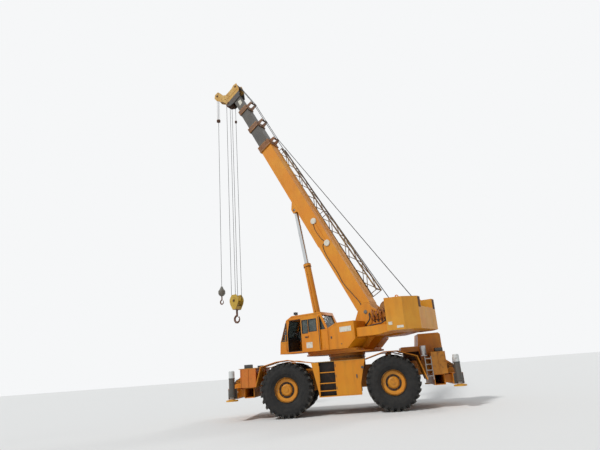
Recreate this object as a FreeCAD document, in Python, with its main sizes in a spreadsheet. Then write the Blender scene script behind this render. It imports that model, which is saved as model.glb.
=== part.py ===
"""Rough-terrain mobile crane: a two-axle carrier, a slewing upper works and a telescopic boom.

Millimetres and degrees. The carrier faces +X, its left side is +Y and the ground is Z = 0.
The origin is on the ground, midway between the axles and on the centreline.
The upper works are drawn about the slewing centre, facing +X, and are then turned to their rest angle.
The boom is drawn lying along +X from its foot pin, and the lift cylinder along +X from its own pin.
"""

import FreeCAD
import Part
import Sketcher
import math
import os
import re

doc = FreeCAD.newDocument("MobileCrane")
sheet = doc.addObject("Spreadsheet::Sheet", "Sizes")

# Driving sizes: name, value
SIZES = [
    # Running gear
    ("wheelbase", 3750),
    ("wheel_track", 2350),
    ("tyre_dia", 1874),
    ("tyre_wide", 740),
    ("tyre_bead_half", 270),
    ("tyre_shoulder", 36),
    ("tyre_skin", 48),
    ("lug_count", 26),
    ("lug_wide", 92),
    ("lug_skew", 95),
    ("lug_root", 800),
    ("lug_gap", 12),
    ("rim_dia", 822),
    ("rim_plate", 16),
    ("rim_lip", 24),
    ("rim_disc", 215),
    ("rim_ring_bore", 275),
    ("hub_radius", 205),
    ("hub_nose", 250),
    ("hub_seat", 115),
    ("kingpin_y", 1000),
    ("kingpin_radius", 42),
    ("knuckle_half", 80),
    ("knuckle_tall", 150),
    ("yoke_plate", 50),
    ("yoke_half", 95),
    ("spindle_radius", 120),
    ("axle_radius", 145),
    ("diff_radius", 265),
    ("diff_half", 210),
    ("diff_taper", 130),
    ("seat_block_y", 353),
    ("seat_block", 120),
    ("seat_block_top", 190),
    ("fit", 0.3),
    ("slide_fit", 0.5),
    # Carrier frame
    ("frame_half", 400),
    ("frame_top", 1600),
    ("frame_belly", 820),
    ("frame_arch", 1270),
    ("frame_front", 4050),
    ("frame_rear", 4260),
    ("frame_nose", 1300),
    ("nose_long", 400),
    ("arch_half", 480),
    ("arch_slope", 110),
    ("slew_x", -320),
    ("ring_outer", 700),
    ("ring_inner", 560),
    ("pedestal_top", 1890),
    ("ring_top", 1965),
    ("ring_flange", 30),
    ("bracket_side", 180),
    ("bracket_tall", 320),
    # Deck, tanks, fenders and steps
    ("deck_top", 1800),
    ("deck_plate", 20),
    ("deck_half", 1500),
    ("deck_front", 930),
    ("deck_back", 1000),
    ("tank_inner", 930),
    ("tank_low", 620),
    ("tank_front", 110),
    ("tank_back", 970),
    ("tank_back_low", 760),
    ("tank_kink", 1000),
    ("fender_inner", 640),
    ("fender_plate", 20),
    ("fender_post", 70),
    ("fender_lip", 55),
    ("step_inner", 1080),
    ("step_front", 700),
    ("step_tread", 30),
    ("step_deep", 250),
    ("front_peak_x", 1770),
    ("front_peak", 1950),
    ("rear_peak_x", 1890),
    ("rear_peak_half", 240),
    ("rear_peak", 1985),
    # Outriggers
    ("outrigger_z", 930),
    ("tube_side", 360),
    ("tube_wall", 15),
    ("tube_half", 1250),
    ("beam_wall", 14),
    ("front_left_x", 3870),
    ("front_right_x", 3270),
    ("rear_left_x", -4080),
    ("rear_right_x", -3460),
    ("jack_y", 1400),
    ("jack_radius", 105),
    ("jack_low", 820),
    ("jack_top", 1720),
    ("jack_rod", 72),
    ("jack_stroke", 680),
    ("float_radius", 215),
    ("float_rim", 45),
    ("float_tall", 120),
    # Lockers, hood and engine
    ("locker_inner", 440),
    ("locker_outer", 1350),
    ("front_locker_a", 2985),
    ("front_locker_b", 3560),
    ("front_locker_top", 1750),
    ("rear_locker_a", 3270),
    ("rear_locker_b", 3750),
    ("rear_locker_top", 1850),
    ("rear_locker_inner", 660),
    ("locker_rib", 20),
    ("locker_clear", 1230),
    ("hood_half", 620),
    ("hood_wall", 25),
    ("hood_front", 2300),
    ("hood_step", 2950),
    ("hood_rear", 3800),
    ("hood_low_base", 1920),
    ("hood_low_top", 2100),
    ("hood_top", 2530),
    ("hood_base", 1600),
    ("hood_slope", 60),
    ("grille_half", 500),
    ("grille_low", 1700),
    ("grille_top", 2420),
    ("grille_bar", 24),
    ("grille_count", 9),
    ("engine_front", 2450),
    ("engine_rear", 3650),
    ("engine_half", 350),
    ("engine_top", 2050),
    ("exhaust_x", 3070),
    ("exhaust_y", 950),
    ("exhaust_radius", 105),
    ("exhaust_low", 1760),
    ("exhaust_top", 2090),
    ("pipe_radius", 45),
    ("ladder_y", 1370),
    ("ladder_rail", 30),
    ("ladder_low", 950),
    ("ladder_top", 1720),
    ("ladder_rungs", 4),
    # Turntable
    ("slew_angle", -28),
    ("floor_top", 2110),
    ("floor_plate", 60),
    ("floor_front", 1480),
    ("floor_side", 950),
    ("cheek_inner", 345),
    ("cheek_plate", 40),
    ("pivot_x", -1200),
    ("pivot_z", 3470),
    ("pivot_radius", 70),
    ("pivot_boss", 300),
    ("tail_x", -2490),
    ("tail_low", 2620),
    ("wing_low", 2550),
    ("wing_top", 2860),
    ("wing_outer", 1250),
    ("wing_front", -1200),
    ("bed_low", 2900),
    # Counterweight
    ("weight_top", 3710),
    ("weight_mid_x", -3060),
    ("weight_end_x", -3430),
    ("weight_half", 1460),
    ("weight_mid_half", 1280),
    ("weight_end_half", 800),
    ("well_half", 560),
    ("well_low", 2950),
    ("well_wall", 160),
    ("notch_low", 3380),
    # Winches
    ("winch_main_x", -2020),
    ("winch_aux_x", -2830),
    ("winch_z", 3500),
    ("drum_radius", 200),
    ("flange_radius", 300),
    ("drum_half", 240),
    ("winch_plate", 40),
    ("winch_foot", 220),
    # Cab
    ("cab_outer", 1370),
    ("cab_inner", 470),
    ("cab_low", 2200),
    ("cab_top", 3600),
    ("cab_wall", 45),
    ("cab_nose", 2180),
    ("cab_brow", 1530),
    ("cab_back", -80),
    ("cab_roof_back", 200),
    ("glass_low", 2650),
    ("glass_low_x", 2140),
    ("glass_top", 3460),
    ("glass_top_x", 1810),
    ("back_bend", 2940),
    ("doorway_back", 1080),
    ("doorway_front", 1760),
    ("doorway_low", 2260),
    ("doorway_top", 3420),
    ("door_plate", 40),
    ("door_back", 240),
    ("door_front", 1080),
    ("door_low", 2215),
    ("door_top", 3450),
    ("pane", 8),
    ("pane_lap", 20),
    ("seat_x", 1000),
    # Side boxes
    ("box_front", -95),
    ("box_back", -1180),
    ("box_low", 2200),
    ("box_top", 3120),
    ("box_inner", 470),
    ("box_plate", 30),
    # Boom
    ("boom_angle", 62.5),
    ("boom_long", 9900),
    ("boom_half_tall", 310),
    ("boom_half_wide", 290),
    ("boom_wall", 20),
    ("boom_foot", 240),
    ("boom_bulkhead", 450),
    ("collar_long", 350),
    ("collar_lip", 45),
    ("stage_out", 1450),
    ("stage_long_2", 9350),
    ("stage_long_3", 9100),
    ("stage_long_4", 8750),
    ("stage_step_tall", 36),
    ("stage_step_wide", 36),
    ("stage_wall", 16),
    ("stage_lip", 40),
    ("pad_long", 150),
    ("belly_plate", 38),
    ("belly_from", 3500),
    ("belly_to", 5400),
    ("guide_rise", 270),
    ("guide_radius", 45),
    ("guide_half", 170),
    ("guide_plate", 24),
    ("strip_from", 3350),
    ("strip_to", 4580),
    ("strip_high", 90),
    ("fitting_radius", 75),
    # Lift cylinder
    ("lift_x", 1030),
    ("lift_z", 2450),
    ("lift_pin", 60),
    ("eye_along", 5820),
    ("eye_below", 470),
    ("eye_radius", 110),
    ("eye_bore", 62),
    ("eye_half", 100),
    ("ear_plate", 45),
    ("ear_gap", 8),
    ("barrel_long", 3450),
    ("barrel_radius", 145),
    ("barrel_bore", 115),
    ("barrel_foot", 190),
    ("bore_start", 140),
    ("gland_radius", 165),
    ("gland_long", 100),
    ("lift_rod", 95),
    ("piston_long", 80),
    ("piston_at", 2565),
    # Boom head
    ("head_plate", 40),
    ("sheave_along", 13950),
    ("sheave_below", 520),
    ("sheave_radius", 210),
    ("sheave_wide", 50),
    ("sheave_pitch", 90),
    ("sheave_groove", 24),
    ("sheave_pin", 45),
    ("whip_along", 15020),
    ("whip_below", 880),
    ("whip_radius", 170),
    ("idler_along", 14400),
    ("idler_above", 330),
    ("idler_radius", 130),
    # Hoist lines and hooks
    ("rope_radius", 12),
    ("block_sheave_z", 4900),
    ("block_plate", 30),
    ("block_half", 195),
    ("block_tall", 560),
    ("block_deep", 240),
    ("block_round", 275),
    ("hook_bar", 48),
    ("hook_throat", 110),
    ("hook_drop", 4.2),
    ("ball_z", 5450),
    ("ball_radius", 170),
    ("switch_drop", 1150),
    ("switch_radius", 60),
    ("switch_tall", 110),
    # Stowed jib
    ("jib_from", 700),
    ("jib_to", 9400),
    ("jib_inner", 370),
    ("jib_deep", 420),
    ("jib_low", 150),
    ("jib_tall", 440),
    ("jib_tip_tall", 290),
    ("jib_tip_deep", 280),
    ("chord_radius", 32),
    ("lace_radius", 16),
    ("jib_bays", 12),
    ("jib_arm", 120),
]
NAMES = {name for name, _ in SIZES}
for row, (name, number) in enumerate(SIZES, start=1):
    sheet.set(f"A{row}", name)
    sheet.set(f"B{row}", str(number))
    sheet.setAlias(f"B{row}", name)
doc.recompute()

LEFT_RIGHT = (("left", 1), ("right", -1))
NODES = {}


def cell(text):
    """An expression in which each size's name points at its cell."""

    def point(word):
        return "Sizes." + word.group() if word.group() in NAMES else word.group()

    return re.sub(r"[A-Za-z_][A-Za-z_0-9]*", point, str(text))


def value(text):
    """The number that an expression of sizes gives."""
    return float(sheet.evalExpression(str(text)))


def bind(item, **properties):
    """Bind properties to expressions; a double underscore stands for a dot."""
    for key, text in properties.items():
        item.setExpression(key.replace("__", "."), cell(text))


def move(item, x=0, y=0, z=0):
    """Bind an object's place."""
    for axis, text in (("x", x), ("y", y), ("z", z)):
        if str(text) != "0":
            item.setExpression(f"Placement.Base.{axis}", cell(text))
    return item


def box(name, x, y, z):
    """A block between pairs of limits along X, Y and Z."""
    item = doc.addObject("Part::Box", name)
    bind(item, Length=f"({x[1]}) - ({x[0]})", Width=f"({y[1]}) - ({y[0]})", Height=f"({z[1]}) - ({z[0]})")
    return move(item, x[0], y[0], z[0])


TURN = {
    "x": FreeCAD.Rotation(FreeCAD.Vector(0, 1, 0), 90),
    "y": FreeCAD.Rotation(FreeCAD.Vector(1, 0, 0), -90),
    "z": FreeCAD.Rotation(),
}


def rod(name, along, radius, start, end, across):
    """A round bar along one axis between two limits; across gives its two other coordinates."""
    item = doc.addObject("Part::Cylinder", name)
    item.Placement = FreeCAD.Placement(FreeCAD.Vector(), TURN[along])
    bind(item, Radius=radius, Height=f"({end}) - ({start})")
    at = {"x": (start, *across), "y": (across[0], start, across[1]), "z": (*across, start)}[along]
    return move(item, *at)


def draw(sketch, loops):
    """Closed loops of straight sides, or circles as (u, v, radius), each bound to its expressions."""
    for loop in loops:
        if isinstance(loop, tuple):
            u, v, radius = loop
            centre = FreeCAD.Vector(value(u), value(v), 0)
            index = sketch.addGeometry(Part.Circle(centre, FreeCAD.Vector(0, 0, 1), value(radius)), False)
            limits = (("Radius", (index, value(radius)), radius), ("DistanceX", (index, 3, value(u)), u), ("DistanceY", (index, 3, value(v)), v))
            for kind, arguments, text in limits:
                number = sketch.addConstraint(Sketcher.Constraint(kind, *arguments))
                sketch.setExpression(f"Constraints[{number}]", cell(text))
            continue
        corners = [FreeCAD.Vector(value(u), value(v), 0) for u, v in loop]
        first = sketch.GeometryCount
        for here, there in zip(corners, corners[1:] + corners[:1]):
            sketch.addGeometry(Part.LineSegment(here, there), False)
        for step in range(len(loop)):
            following = first + (step + 1) % len(loop)
            sketch.addConstraint(Sketcher.Constraint("Coincident", first + step, 2, following, 1))
        for step, (u, v) in enumerate(loop):
            for kind, text in (("DistanceX", u), ("DistanceY", v)):
                number = sketch.addConstraint(Sketcher.Constraint(kind, first + step, 1, value(text)))
                sketch.setExpression(f"Constraints[{number}]", cell(text))


def sketch_on(body, plane, name, loops):
    """A sketch on one of the body's own origin planes."""
    sketch = body.newObject("Sketcher::SketchObject", name)
    face = next(item for item in body.Origin.OriginFeatures if item.Role == plane)
    sketch.AttachmentSupport = [(face, "")]
    sketch.MapMode = "FlatFace"
    draw(sketch, loops)
    return sketch


def prism(name, plane, loops, length):
    """A body padded evenly to both sides of one origin plane."""
    body = doc.addObject("PartDesign::Body", name)
    sketch = sketch_on(body, plane, name + "_outline", loops)
    pad = body.newObject("PartDesign::Pad", name + "_pad")
    pad.Profile = sketch
    pad.SideType = "Symmetric"
    bind(pad, Length=length)
    return body


def slab(name, loops, y):
    """A side-view outline in X and Z, as thick as the two Y limits are apart."""
    return move(prism(name, "XZ_Plane", loops, f"({y[1]}) - ({y[0]})"), y=f"(({y[0]}) + ({y[1]})) / 2")


def plan(name, loops, z):
    """A plan outline in X and Y between two heights."""
    return move(prism(name, "XY_Plane", loops, f"({z[1]}) - ({z[0]})"), z=f"(({z[0]}) + ({z[1]})) / 2")


def turned(name, outline, axis):
    """An outline of (radius, height) pairs turned about the Y or Z axis."""
    body = doc.addObject("PartDesign::Body", name)
    plane = {"y": "XY_Plane", "z": "XZ_Plane"}[axis]
    sketch = sketch_on(body, plane, name + "_outline", [outline])
    spin = body.newObject("PartDesign::Revolution", name + "_turn")
    spin.Profile = sketch
    spin.ReferenceAxis = (sketch, ["V_Axis"])
    spin.Angle = 360
    return body


def fuse(name, parts):
    """One solid from touching pieces."""
    item = doc.addObject("Part::MultiFuse", name)
    item.Shapes = parts
    item.Refine = True
    return item


def cut(name, base, tool):
    """A piece less another."""
    item = doc.addObject("Part::Cut", name)
    item.Base = base
    item.Tool = tool
    return item


def node(name, parts, placement=None):
    """A named piece of the crane: its solids, carried to their place."""
    item = doc.addObject("Part::Compound", name)
    item.Label = name
    item.Links = parts
    if placement is not None:
        item.Placement = placement
    NODES[name] = item
    return item


def place(x, y, z, axis=(0, 0, 1), angle=0):
    """A placement from expressions."""
    base = FreeCAD.Vector(value(x), value(y), value(z))
    return FreeCAD.Placement(base, FreeCAD.Rotation(FreeCAD.Vector(*axis), value(angle)))


def square_ring(name, along, tall, wide, wall):
    """A rectangular tube lying along X: outer half height and half width, and its wall."""
    outer = box(name + "_outer", along, (f"-({wide})", wide), (f"-({tall})", tall))
    inner = box(
        name + "_inner",
        (f"({along[0]}) - 1", f"({along[1]}) + 1"),
        (f"-(({wide}) - ({wall}))", f"({wide}) - ({wall})"),
        (f"-(({tall}) - ({wall}))", f"({tall}) - ({wall})"),
    )
    return cut(name, outer, inner)


UPPER = place("slew_x", 0, 0, angle="slew_angle")
BOOM = UPPER * place("pivot_x", 0, "pivot_z", (0, 1, 0), "-boom_angle")
EYE_X = "pivot_x + eye_along * cos(boom_angle) + eye_below * sin(boom_angle)"
EYE_Z = "pivot_z + eye_along * sin(boom_angle) - eye_below * cos(boom_angle)"
LIFT_RUN = f"({EYE_X}) - lift_x"
LIFT_RISE = f"({EYE_Z}) - lift_z"
LIFT_ANGLE = f"atan(({LIFT_RISE}) / ({LIFT_RUN}))"
LIFT_LONG = f"sqrt(({LIFT_RUN}) * ({LIFT_RUN}) + ({LIFT_RISE}) * ({LIFT_RISE}))"
LIFT = UPPER * place("lift_x", 0, "lift_z", (0, 1, 0), f"-{LIFT_ANGLE}")
AXLE_Z = "tyre_dia / 2"
TUBE_TOP = "outrigger_z + tube_side / 2"


def frame():
    """The box frame: belly between the axles, an arch over each, and a nose at each end."""
    axle = "wheelbase / 2"
    side = [
        ("-frame_rear", TUBE_TOP),
        (f"-{axle} - arch_half - arch_slope", TUBE_TOP),
        (f"-{axle} - arch_half", "frame_arch"),
        (f"-{axle} + arch_half", "frame_arch"),
        (f"-{axle} + arch_half + arch_slope", "frame_belly"),
        (f"{axle} - arch_half - arch_slope", "frame_belly"),
        (f"{axle} - arch_half", "frame_arch"),
        (f"{axle} + arch_half", "frame_arch"),
        (f"{axle} + arch_half + arch_slope", TUBE_TOP),
        ("frame_front", TUBE_TOP),
        ("frame_front", "frame_nose"),
        ("frame_front - nose_long", "frame_top"),
        ("-frame_rear + nose_long", "frame_top"),
        ("-frame_rear", "frame_nose"),
    ]
    parts = [slab("frame_beam", [side], ("-frame_half", "frame_half"))]
    parts.append(rod("pedestal", "z", "ring_outer - ring_flange", "frame_top - 1", "pedestal_top", ("slew_x", 0)))
    for end, sign in (("front", 1), ("rear", -1)):
        for hand, side_sign in LEFT_RIGHT:
            centre = f"{side_sign} * seat_block_y"
            parts.append(
                box(
                    f"axle_pad_{end}_{hand}",
                    (f"{sign} * {axle} - seat_block", f"{sign} * {axle} + seat_block"),
                    (f"{centre} - seat_block / 2", f"{centre} + seat_block / 2"),
                    (f"{AXLE_Z} + seat_block_top", "frame_arch + 1"),
                )
            )
    for number, at in enumerate(("-0.75 * tank_back_low", "0.25 * tank_back_low - bracket_side")):
        parts.append(
            box(
                f"tank_bracket_{number}",
                (at, f"{at} + bracket_side"),
                ("-tank_inner", "tank_inner"),
                ("frame_arch - bracket_tall", "frame_arch"),
            )
        )
    node("frame", [fuse("frame_fused", parts)])


def slewing_ring():
    """The geared outer race of the slewing ring, on its pedestal."""
    ring = turned(
        "ring_race",
        [
            ("ring_inner", "pedestal_top"),
            ("ring_outer", "pedestal_top"),
            ("ring_outer", "pedestal_top + ring_flange"),
            ("ring_outer - ring_flange", "pedestal_top + ring_flange"),
            ("ring_outer - ring_flange", "ring_top"),
            ("ring_inner", "ring_top"),
        ],
        "z",
    )
    node("slew_ring", [ring], place("slew_x", 0, 0))


def deck():
    """Chequer deck around the pedestal, and a plate over the front lockers."""
    main = plan(
        "deck_main",
        [
            [
                ("-deck_back", "-deck_half"),
                ("deck_front", "-deck_half"),
                ("deck_front", "deck_half"),
                ("-deck_back", "deck_half"),
            ],
            ("slew_x", 0, "ring_outer - ring_flange + fit"),
        ],
        ("deck_top - deck_plate", "deck_top"),
    )
    front = box(
        "deck_front_plate",
        ("front_locker_a - 160", "front_locker_b + 60"),
        ("-locker_outer", "locker_outer"),
        ("front_locker_top", "front_locker_top + deck_plate"),
    )
    node("deck", [main, front])


def side_tanks():
    """A tank on each side between the wheels, its rear edge leaning clear of the steered tyre."""
    outline = [
        ("tank_front", "tank_low"),
        ("tank_front", "deck_top - deck_plate"),
        ("-tank_back", "deck_top - deck_plate"),
        ("-tank_back_low", "tank_kink"),
        ("-tank_back_low", "tank_low"),
    ]
    tanks = []
    for hand, side in LEFT_RIGHT:
        low, high = sorted((f"{side} * tank_inner", f"{side} * deck_half"), key=value)
        tanks.append(slab(f"tank_{hand}", [outline], (low, high)))
    node("side_tanks", tanks)


def arch_plate(name, centre, outer, y):
    """A plate bent along an outline above a wheel, thinned towards the wheel's centre."""
    inner = []
    for u, v in reversed(outer):
        share = "(1 - fender_plate / 1000)"
        inner.append((f"({centre}) + (({u}) - ({centre})) * {share}", f"{AXLE_Z} + (({v}) - {AXLE_Z}) * {share}"))
    return slab(name, [list(outer) + inner], y)


def fenders():
    """Four bent wheel covers, each on a post and an arm from the frame."""
    front = [
        ("wheelbase / 2 + 1105", 1110),
        ("wheelbase / 2 + 905", 1785),
        ("wheelbase / 2 + 325", 1920),
        ("front_peak_x", "front_peak"),
        ("wheelbase / 2 - 485", 1870),
        ("deck_front", "deck_top"),
    ]
    rear = [
        ("-deck_back", "deck_top"),
        ("-rear_peak_x + rear_peak_half", "rear_peak"),
        ("-rear_peak_x - rear_peak_half", "rear_peak"),
        ("-wheelbase / 2 - 915", 1765),
        ("-wheelbase / 2 - 1160", 960),
    ]
    solids = []
    for end, centre, outer, top in (
        ("front", "wheelbase / 2", front, "front_peak - 3 * fender_plate"),
        ("rear", "-wheelbase / 2", rear, "rear_peak - fender_plate - 1"),
    ):
        for hand, side in LEFT_RIGHT:
            low, high = sorted((f"{side} * fender_inner", f"{side} * deck_half"), key=value)
            name = f"fender_{end}_{hand}"
            plate = arch_plate(name, centre, outer, (low, high))
            post_y = sorted((f"{side} * fender_inner", f"{side} * (fender_inner + fender_post)"), key=value)
            post = box(name + "_post", (f"{centre} - 80", f"{centre} + 80"), post_y, ("frame_top", top))
            arm_y = sorted((f"{side} * (frame_half - 100)", f"{side} * (fender_inner + 1)"), key=value)
            arm = box(name + "_arm", (f"{centre} - 80", f"{centre} + 80"), arm_y, ("frame_top", "frame_top + 80"))
            solids.append(fuse(name + "_fused", [plate, post, arm]))
    node("fenders", solids)


def steps():
    """Steps ahead of each tank under a three-cornered gusset, and the ladder at the rear."""
    gusset = [("deck_front", "deck_top - deck_plate"), ("step_front + 20", "deck_top - deck_plate"), ("step_front", "tank_low + 20")]
    treads = (1430, 1070, 820)
    solids = []
    for hand, side in LEFT_RIGHT:

        def across(inner, outer):
            return sorted((f"{side} * ({inner})", f"{side} * ({outer})"), key=value)

        name = f"steps_{hand}"
        parts = [slab(name + "_gusset", [gusset], across("deck_half - deck_plate", "deck_half"))]
        run = ("tank_front", "step_front + 5")
        parts.append(box(name + "_back", run, across("step_inner - deck_plate", "step_inner"), ("tank_low", "deck_top - deck_plate")))
        parts.append(box(name + "_sill", run, across("step_inner - 1", "deck_half"), ("tank_low", "tank_low + step_tread")))
        parts.append(box(name + "_post", ("step_front - 25", "step_front + 25"), across("step_inner - 1", "deck_half"), ("tank_low", "deck_top - deck_plate")))
        for number, height in enumerate(treads):
            tread = across("deck_half - step_deep", "deck_half")
            parts.append(box(f"{name}_tread_{number}", run, tread, (height - 15, height + 15)))
        solids.append(fuse(name + "_fused", parts))
        ladder = f"ladder_{hand}"
        rails = []
        for number, at in enumerate(("-rear_locker_a", "-rear_locker_a + 204.7")):
            rails.append(box(f"{ladder}_rail_{number}", (at, f"{at} + ladder_rail"), across("ladder_y - ladder_rail - 20", "ladder_y - 20"), ("ladder_low", "ladder_top")))
        for number in range(int(value("ladder_rungs"))):
            height = f"ladder_low + {number + 0.5} * (ladder_top - ladder_low) / ladder_rungs"
            rails.append(box(f"{ladder}_rung_{number}", ("-rear_locker_a + 5", "-rear_locker_a + 220"), across("ladder_y - ladder_rail - 18", "ladder_y - 22"), (height, f"{height} + ladder_rail")))
        solids.append(fuse(ladder + "_fused", rails))
    node("steps", solids)


def outrigger_boxes():
    """Two cross tubes at each end, joined by a web, that house the four beams."""
    solids = []
    for end, first, second in (
        ("front", "front_right_x", "front_left_x"),
        ("rear", "rear_left_x", "rear_right_x"),
    ):
        parts = []
        for number, at in enumerate((first, second)):
            half = "tube_side / 2"
            inner = f"({half} - tube_wall)"
            loops = [
                [
                    (f"{at} - {u}", f"outrigger_z - {v}"),
                    (f"{at} + {u}", f"outrigger_z - {v}"),
                    (f"{at} + {u}", f"outrigger_z + {v}"),
                    (f"{at} - {u}", f"outrigger_z + {v}"),
                ]
                for u, v in ((half, half), (inner, inner))
            ]
            parts.append(slab(f"tube_{end}_{number}", loops, ("-tube_half", "tube_half")))
        web = (f"{first} + tube_side / 2 - 2", f"{second} - tube_side / 2 + 2")
        for number, at in enumerate(("-tube_half * 0.8", "-40", "tube_half * 0.8 - 80")):
            parts.append(box(f"web_{end}_{number}", web, (at, f"{at} + 80"), ("outrigger_z - 130", "outrigger_z + 130")))
        solids.append(fuse(f"boxes_{end}", parts))
    node("outrigger_boxes", solids)


def lockers():
    """Ribbed lockers over the outrigger tubes."""
    solids = []
    for end, near, far, top, inner in (
        ("front", "front_locker_a", "front_locker_b", "front_locker_top", "locker_inner"),
        ("rear", "-rear_locker_b", "-rear_locker_a", "rear_locker_top", "rear_locker_inner"),
    ):
        for hand, side in LEFT_RIGHT:
            name = f"locker_{end}_{hand}"
            outer = "locker_outer" if side > 0 else "locker_clear"
            y = sorted((f"{side} * {inner}", f"{side} * {outer}"), key=value)
            rib_y = sorted((f"{side} * ({outer} - 1)", f"{side} * ({outer} + locker_rib)"), key=value)
            parts = [box(name, (near, far), y, (TUBE_TOP, top))]
            for number in range(3):
                at = f"{near} + {number} * ({far} - ({near}) - locker_rib) / 2"
                parts.append(box(f"{name}_rib_{number}", (at, f"{at} + locker_rib"), rib_y, (TUBE_TOP, top)))
            solids.append(fuse(name + "_fused", parts))
    node("lockers", solids)


def hood():
    """The stepped engine cover, open below and at the radiator."""
    outer = [
        ("-hood_front", "hood_low_base"),
        ("-hood_front - hood_slope", "hood_low_top"),
        ("-hood_step", "hood_low_top"),
        ("-hood_step - hood_slope", "hood_top"),
        ("-hood_rear + hood_slope", "hood_top"),
        ("-hood_rear", "hood_top - hood_slope"),
        ("-hood_rear", "hood_base"),
        ("-hood_step - hood_slope", "hood_base"),
        ("-hood_step", "hood_low_base"),
    ]
    inner = [
        ("-hood_front - hood_wall", "hood_base - 10"),
        ("-hood_front - hood_slope - hood_wall", "hood_low_top - hood_wall"),
        ("-hood_step - 1.5 * hood_wall", "hood_low_top - hood_wall"),
        ("-hood_step - hood_slope - hood_wall", "hood_top - hood_wall"),
        ("-hood_rear + hood_slope", "hood_top - hood_wall"),
        ("-hood_rear + hood_wall", "hood_top - hood_slope"),
        ("-hood_rear + hood_wall", "hood_base - 10"),
    ]
    shell = cut(
        "hood_shell",
        slab("hood_outer", [outer], ("-hood_half", "hood_half")),
        slab("hood_inner", [inner], ("-hood_half + hood_wall", "hood_half - hood_wall")),
    )
    mouth = box(
        "hood_mouth",
        ("-hood_rear - 10", "-hood_rear + 2 * hood_wall"),
        ("-grille_half", "grille_half"),
        ("grille_low", "grille_top"),
    )
    node("hood", [cut("hood_open", shell, mouth)])
    bars = []
    step = "(grille_top - grille_low - 2 * fit - grille_bar) / grille_count"
    for number in range(int(value("grille_count")) + 1):
        low = f"grille_low + fit + {number} * {step}"
        bars.append(box(f"grille_bar_{number}", ("-hood_rear", "-hood_rear + hood_wall"), ("-grille_half + fit", "grille_half - fit"), (low, f"{low} + grille_bar")))
    for number in range(5):
        at = f"-grille_half + fit + {number} * (2 * grille_half - 2 * fit - grille_bar) / 4"
        bars.append(box(f"grille_post_{number}", ("-hood_rear + 5", "-hood_rear + hood_wall"), (at, f"{at} + grille_bar"), ("grille_low + fit", "grille_top - fit")))
    node("grille", [fuse("grille_fused", bars)])
    node("engine", [box("engine_block", ("-engine_rear", "-engine_front"), ("-engine_half", "engine_half"), ("frame_top", "engine_top"))])


def exhaust():
    """A silencer can on a bracket beside the hood, and its pipe."""
    shelf = box("exhaust_shelf", ("-exhaust_x - exhaust_radius", "-exhaust_x + exhaust_radius"), ("hood_half", "exhaust_y + exhaust_radius"), ("exhaust_low - 20", "exhaust_low"))
    can = rod("exhaust_can", "z", "exhaust_radius", "exhaust_low - 1", "exhaust_top", ("-exhaust_x", "exhaust_y"))
    pipe = rod("exhaust_pipe", "y", "pipe_radius", "hood_half", "exhaust_y", ("-exhaust_x", "exhaust_top - 100"))
    node("exhaust", [fuse("exhaust_fused", [shelf, can, pipe])])


def lamps():
    """Head lamps on the front tube and tail lamps on the rear one."""
    solids = []
    for hand, side in LEFT_RIGHT:
        y = sorted((f"{side} * 520", f"{side} * 760"), key=value)
        front = "front_left_x + tube_side / 2"
        rear = "rear_left_x - tube_side / 2"
        solids.append(box(f"head_lamp_{hand}", (front, f"{front} + 70"), y, ("outrigger_z - 70", "outrigger_z + 70")))
        solids.append(box(f"tail_lamp_{hand}", (f"{rear} - 50", rear), y, ("outrigger_z - 60", "outrigger_z + 60")))
    node("lamps", solids)


def axles():
    """Two driving axles: a housing with its differential, seat blocks, and a yoke at each end."""
    half = "kingpin_y - yoke_half"
    section = [
        (0, f"-({half})"),
        ("axle_radius", f"-({half})"),
        ("axle_radius", "-diff_half - diff_taper"),
        ("diff_radius", "-diff_half"),
        ("diff_radius", "diff_half"),
        ("axle_radius", "diff_half + diff_taper"),
        ("axle_radius", half),
        (0, half),
    ]
    solids = []
    for end, sign in (("front", 1), ("rear", -1)):
        at = f"{sign} * wheelbase / 2"
        housing = move(turned(f"axle_{end}", section, "y"), at, 0, AXLE_Z)
        parts = [housing]
        for hand, side in LEFT_RIGHT:
            centre = f"{side} * seat_block_y"
            parts.append(
                box(
                    f"axle_seat_{end}_{hand}",
                    (f"{at} - seat_block", f"{at} + seat_block"),
                    (f"{centre} - seat_block / 2", f"{centre} + seat_block / 2"),
                    (AXLE_Z, f"{AXLE_Z} + seat_block_top"),
                )
            )
            root = sorted((f"{side} * ({half} - 60)", f"{side} * ({half} + 10)"), key=value)
            reach = f"knuckle_tall + fit + yoke_plate"
            parts.append(box(f"yoke_root_{end}_{hand}", (f"{at} - yoke_half", f"{at} + yoke_half"), root, (f"{AXLE_Z} - ({reach})", f"{AXLE_Z} + {reach}")))
            for level, up in (("top", 1), ("bottom", -1)):
                z = sorted((f"{AXLE_Z} + {up} * (knuckle_tall + fit)", f"{AXLE_Z} + {up} * ({reach})"), key=value)
                ear = plan(
                    f"yoke_{level}_{end}_{hand}",
                    [
                        [
                            (f"{at} - yoke_half", f"{side} * ({half} - 50)"),
                            (f"{at} + yoke_half", f"{side} * ({half} - 50)"),
                            (f"{at} + yoke_half", f"{side} * (kingpin_y + 0.4 * yoke_half)"),
                            (f"{at} + 0.5 * yoke_half", f"{side} * (kingpin_y + 0.9 * yoke_half)"),
                            (f"{at} - 0.5 * yoke_half", f"{side} * (kingpin_y + 0.9 * yoke_half)"),
                            (f"{at} - yoke_half", f"{side} * (kingpin_y + 0.4 * yoke_half)"),
                        ],
                        (at, f"{side} * kingpin_y", "kingpin_radius + fit"),
                    ],
                    z,
                )
                parts.append(ear)
        solids.append(fuse(f"axle_{end}_fused", parts))
    node("axles", solids)


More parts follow.
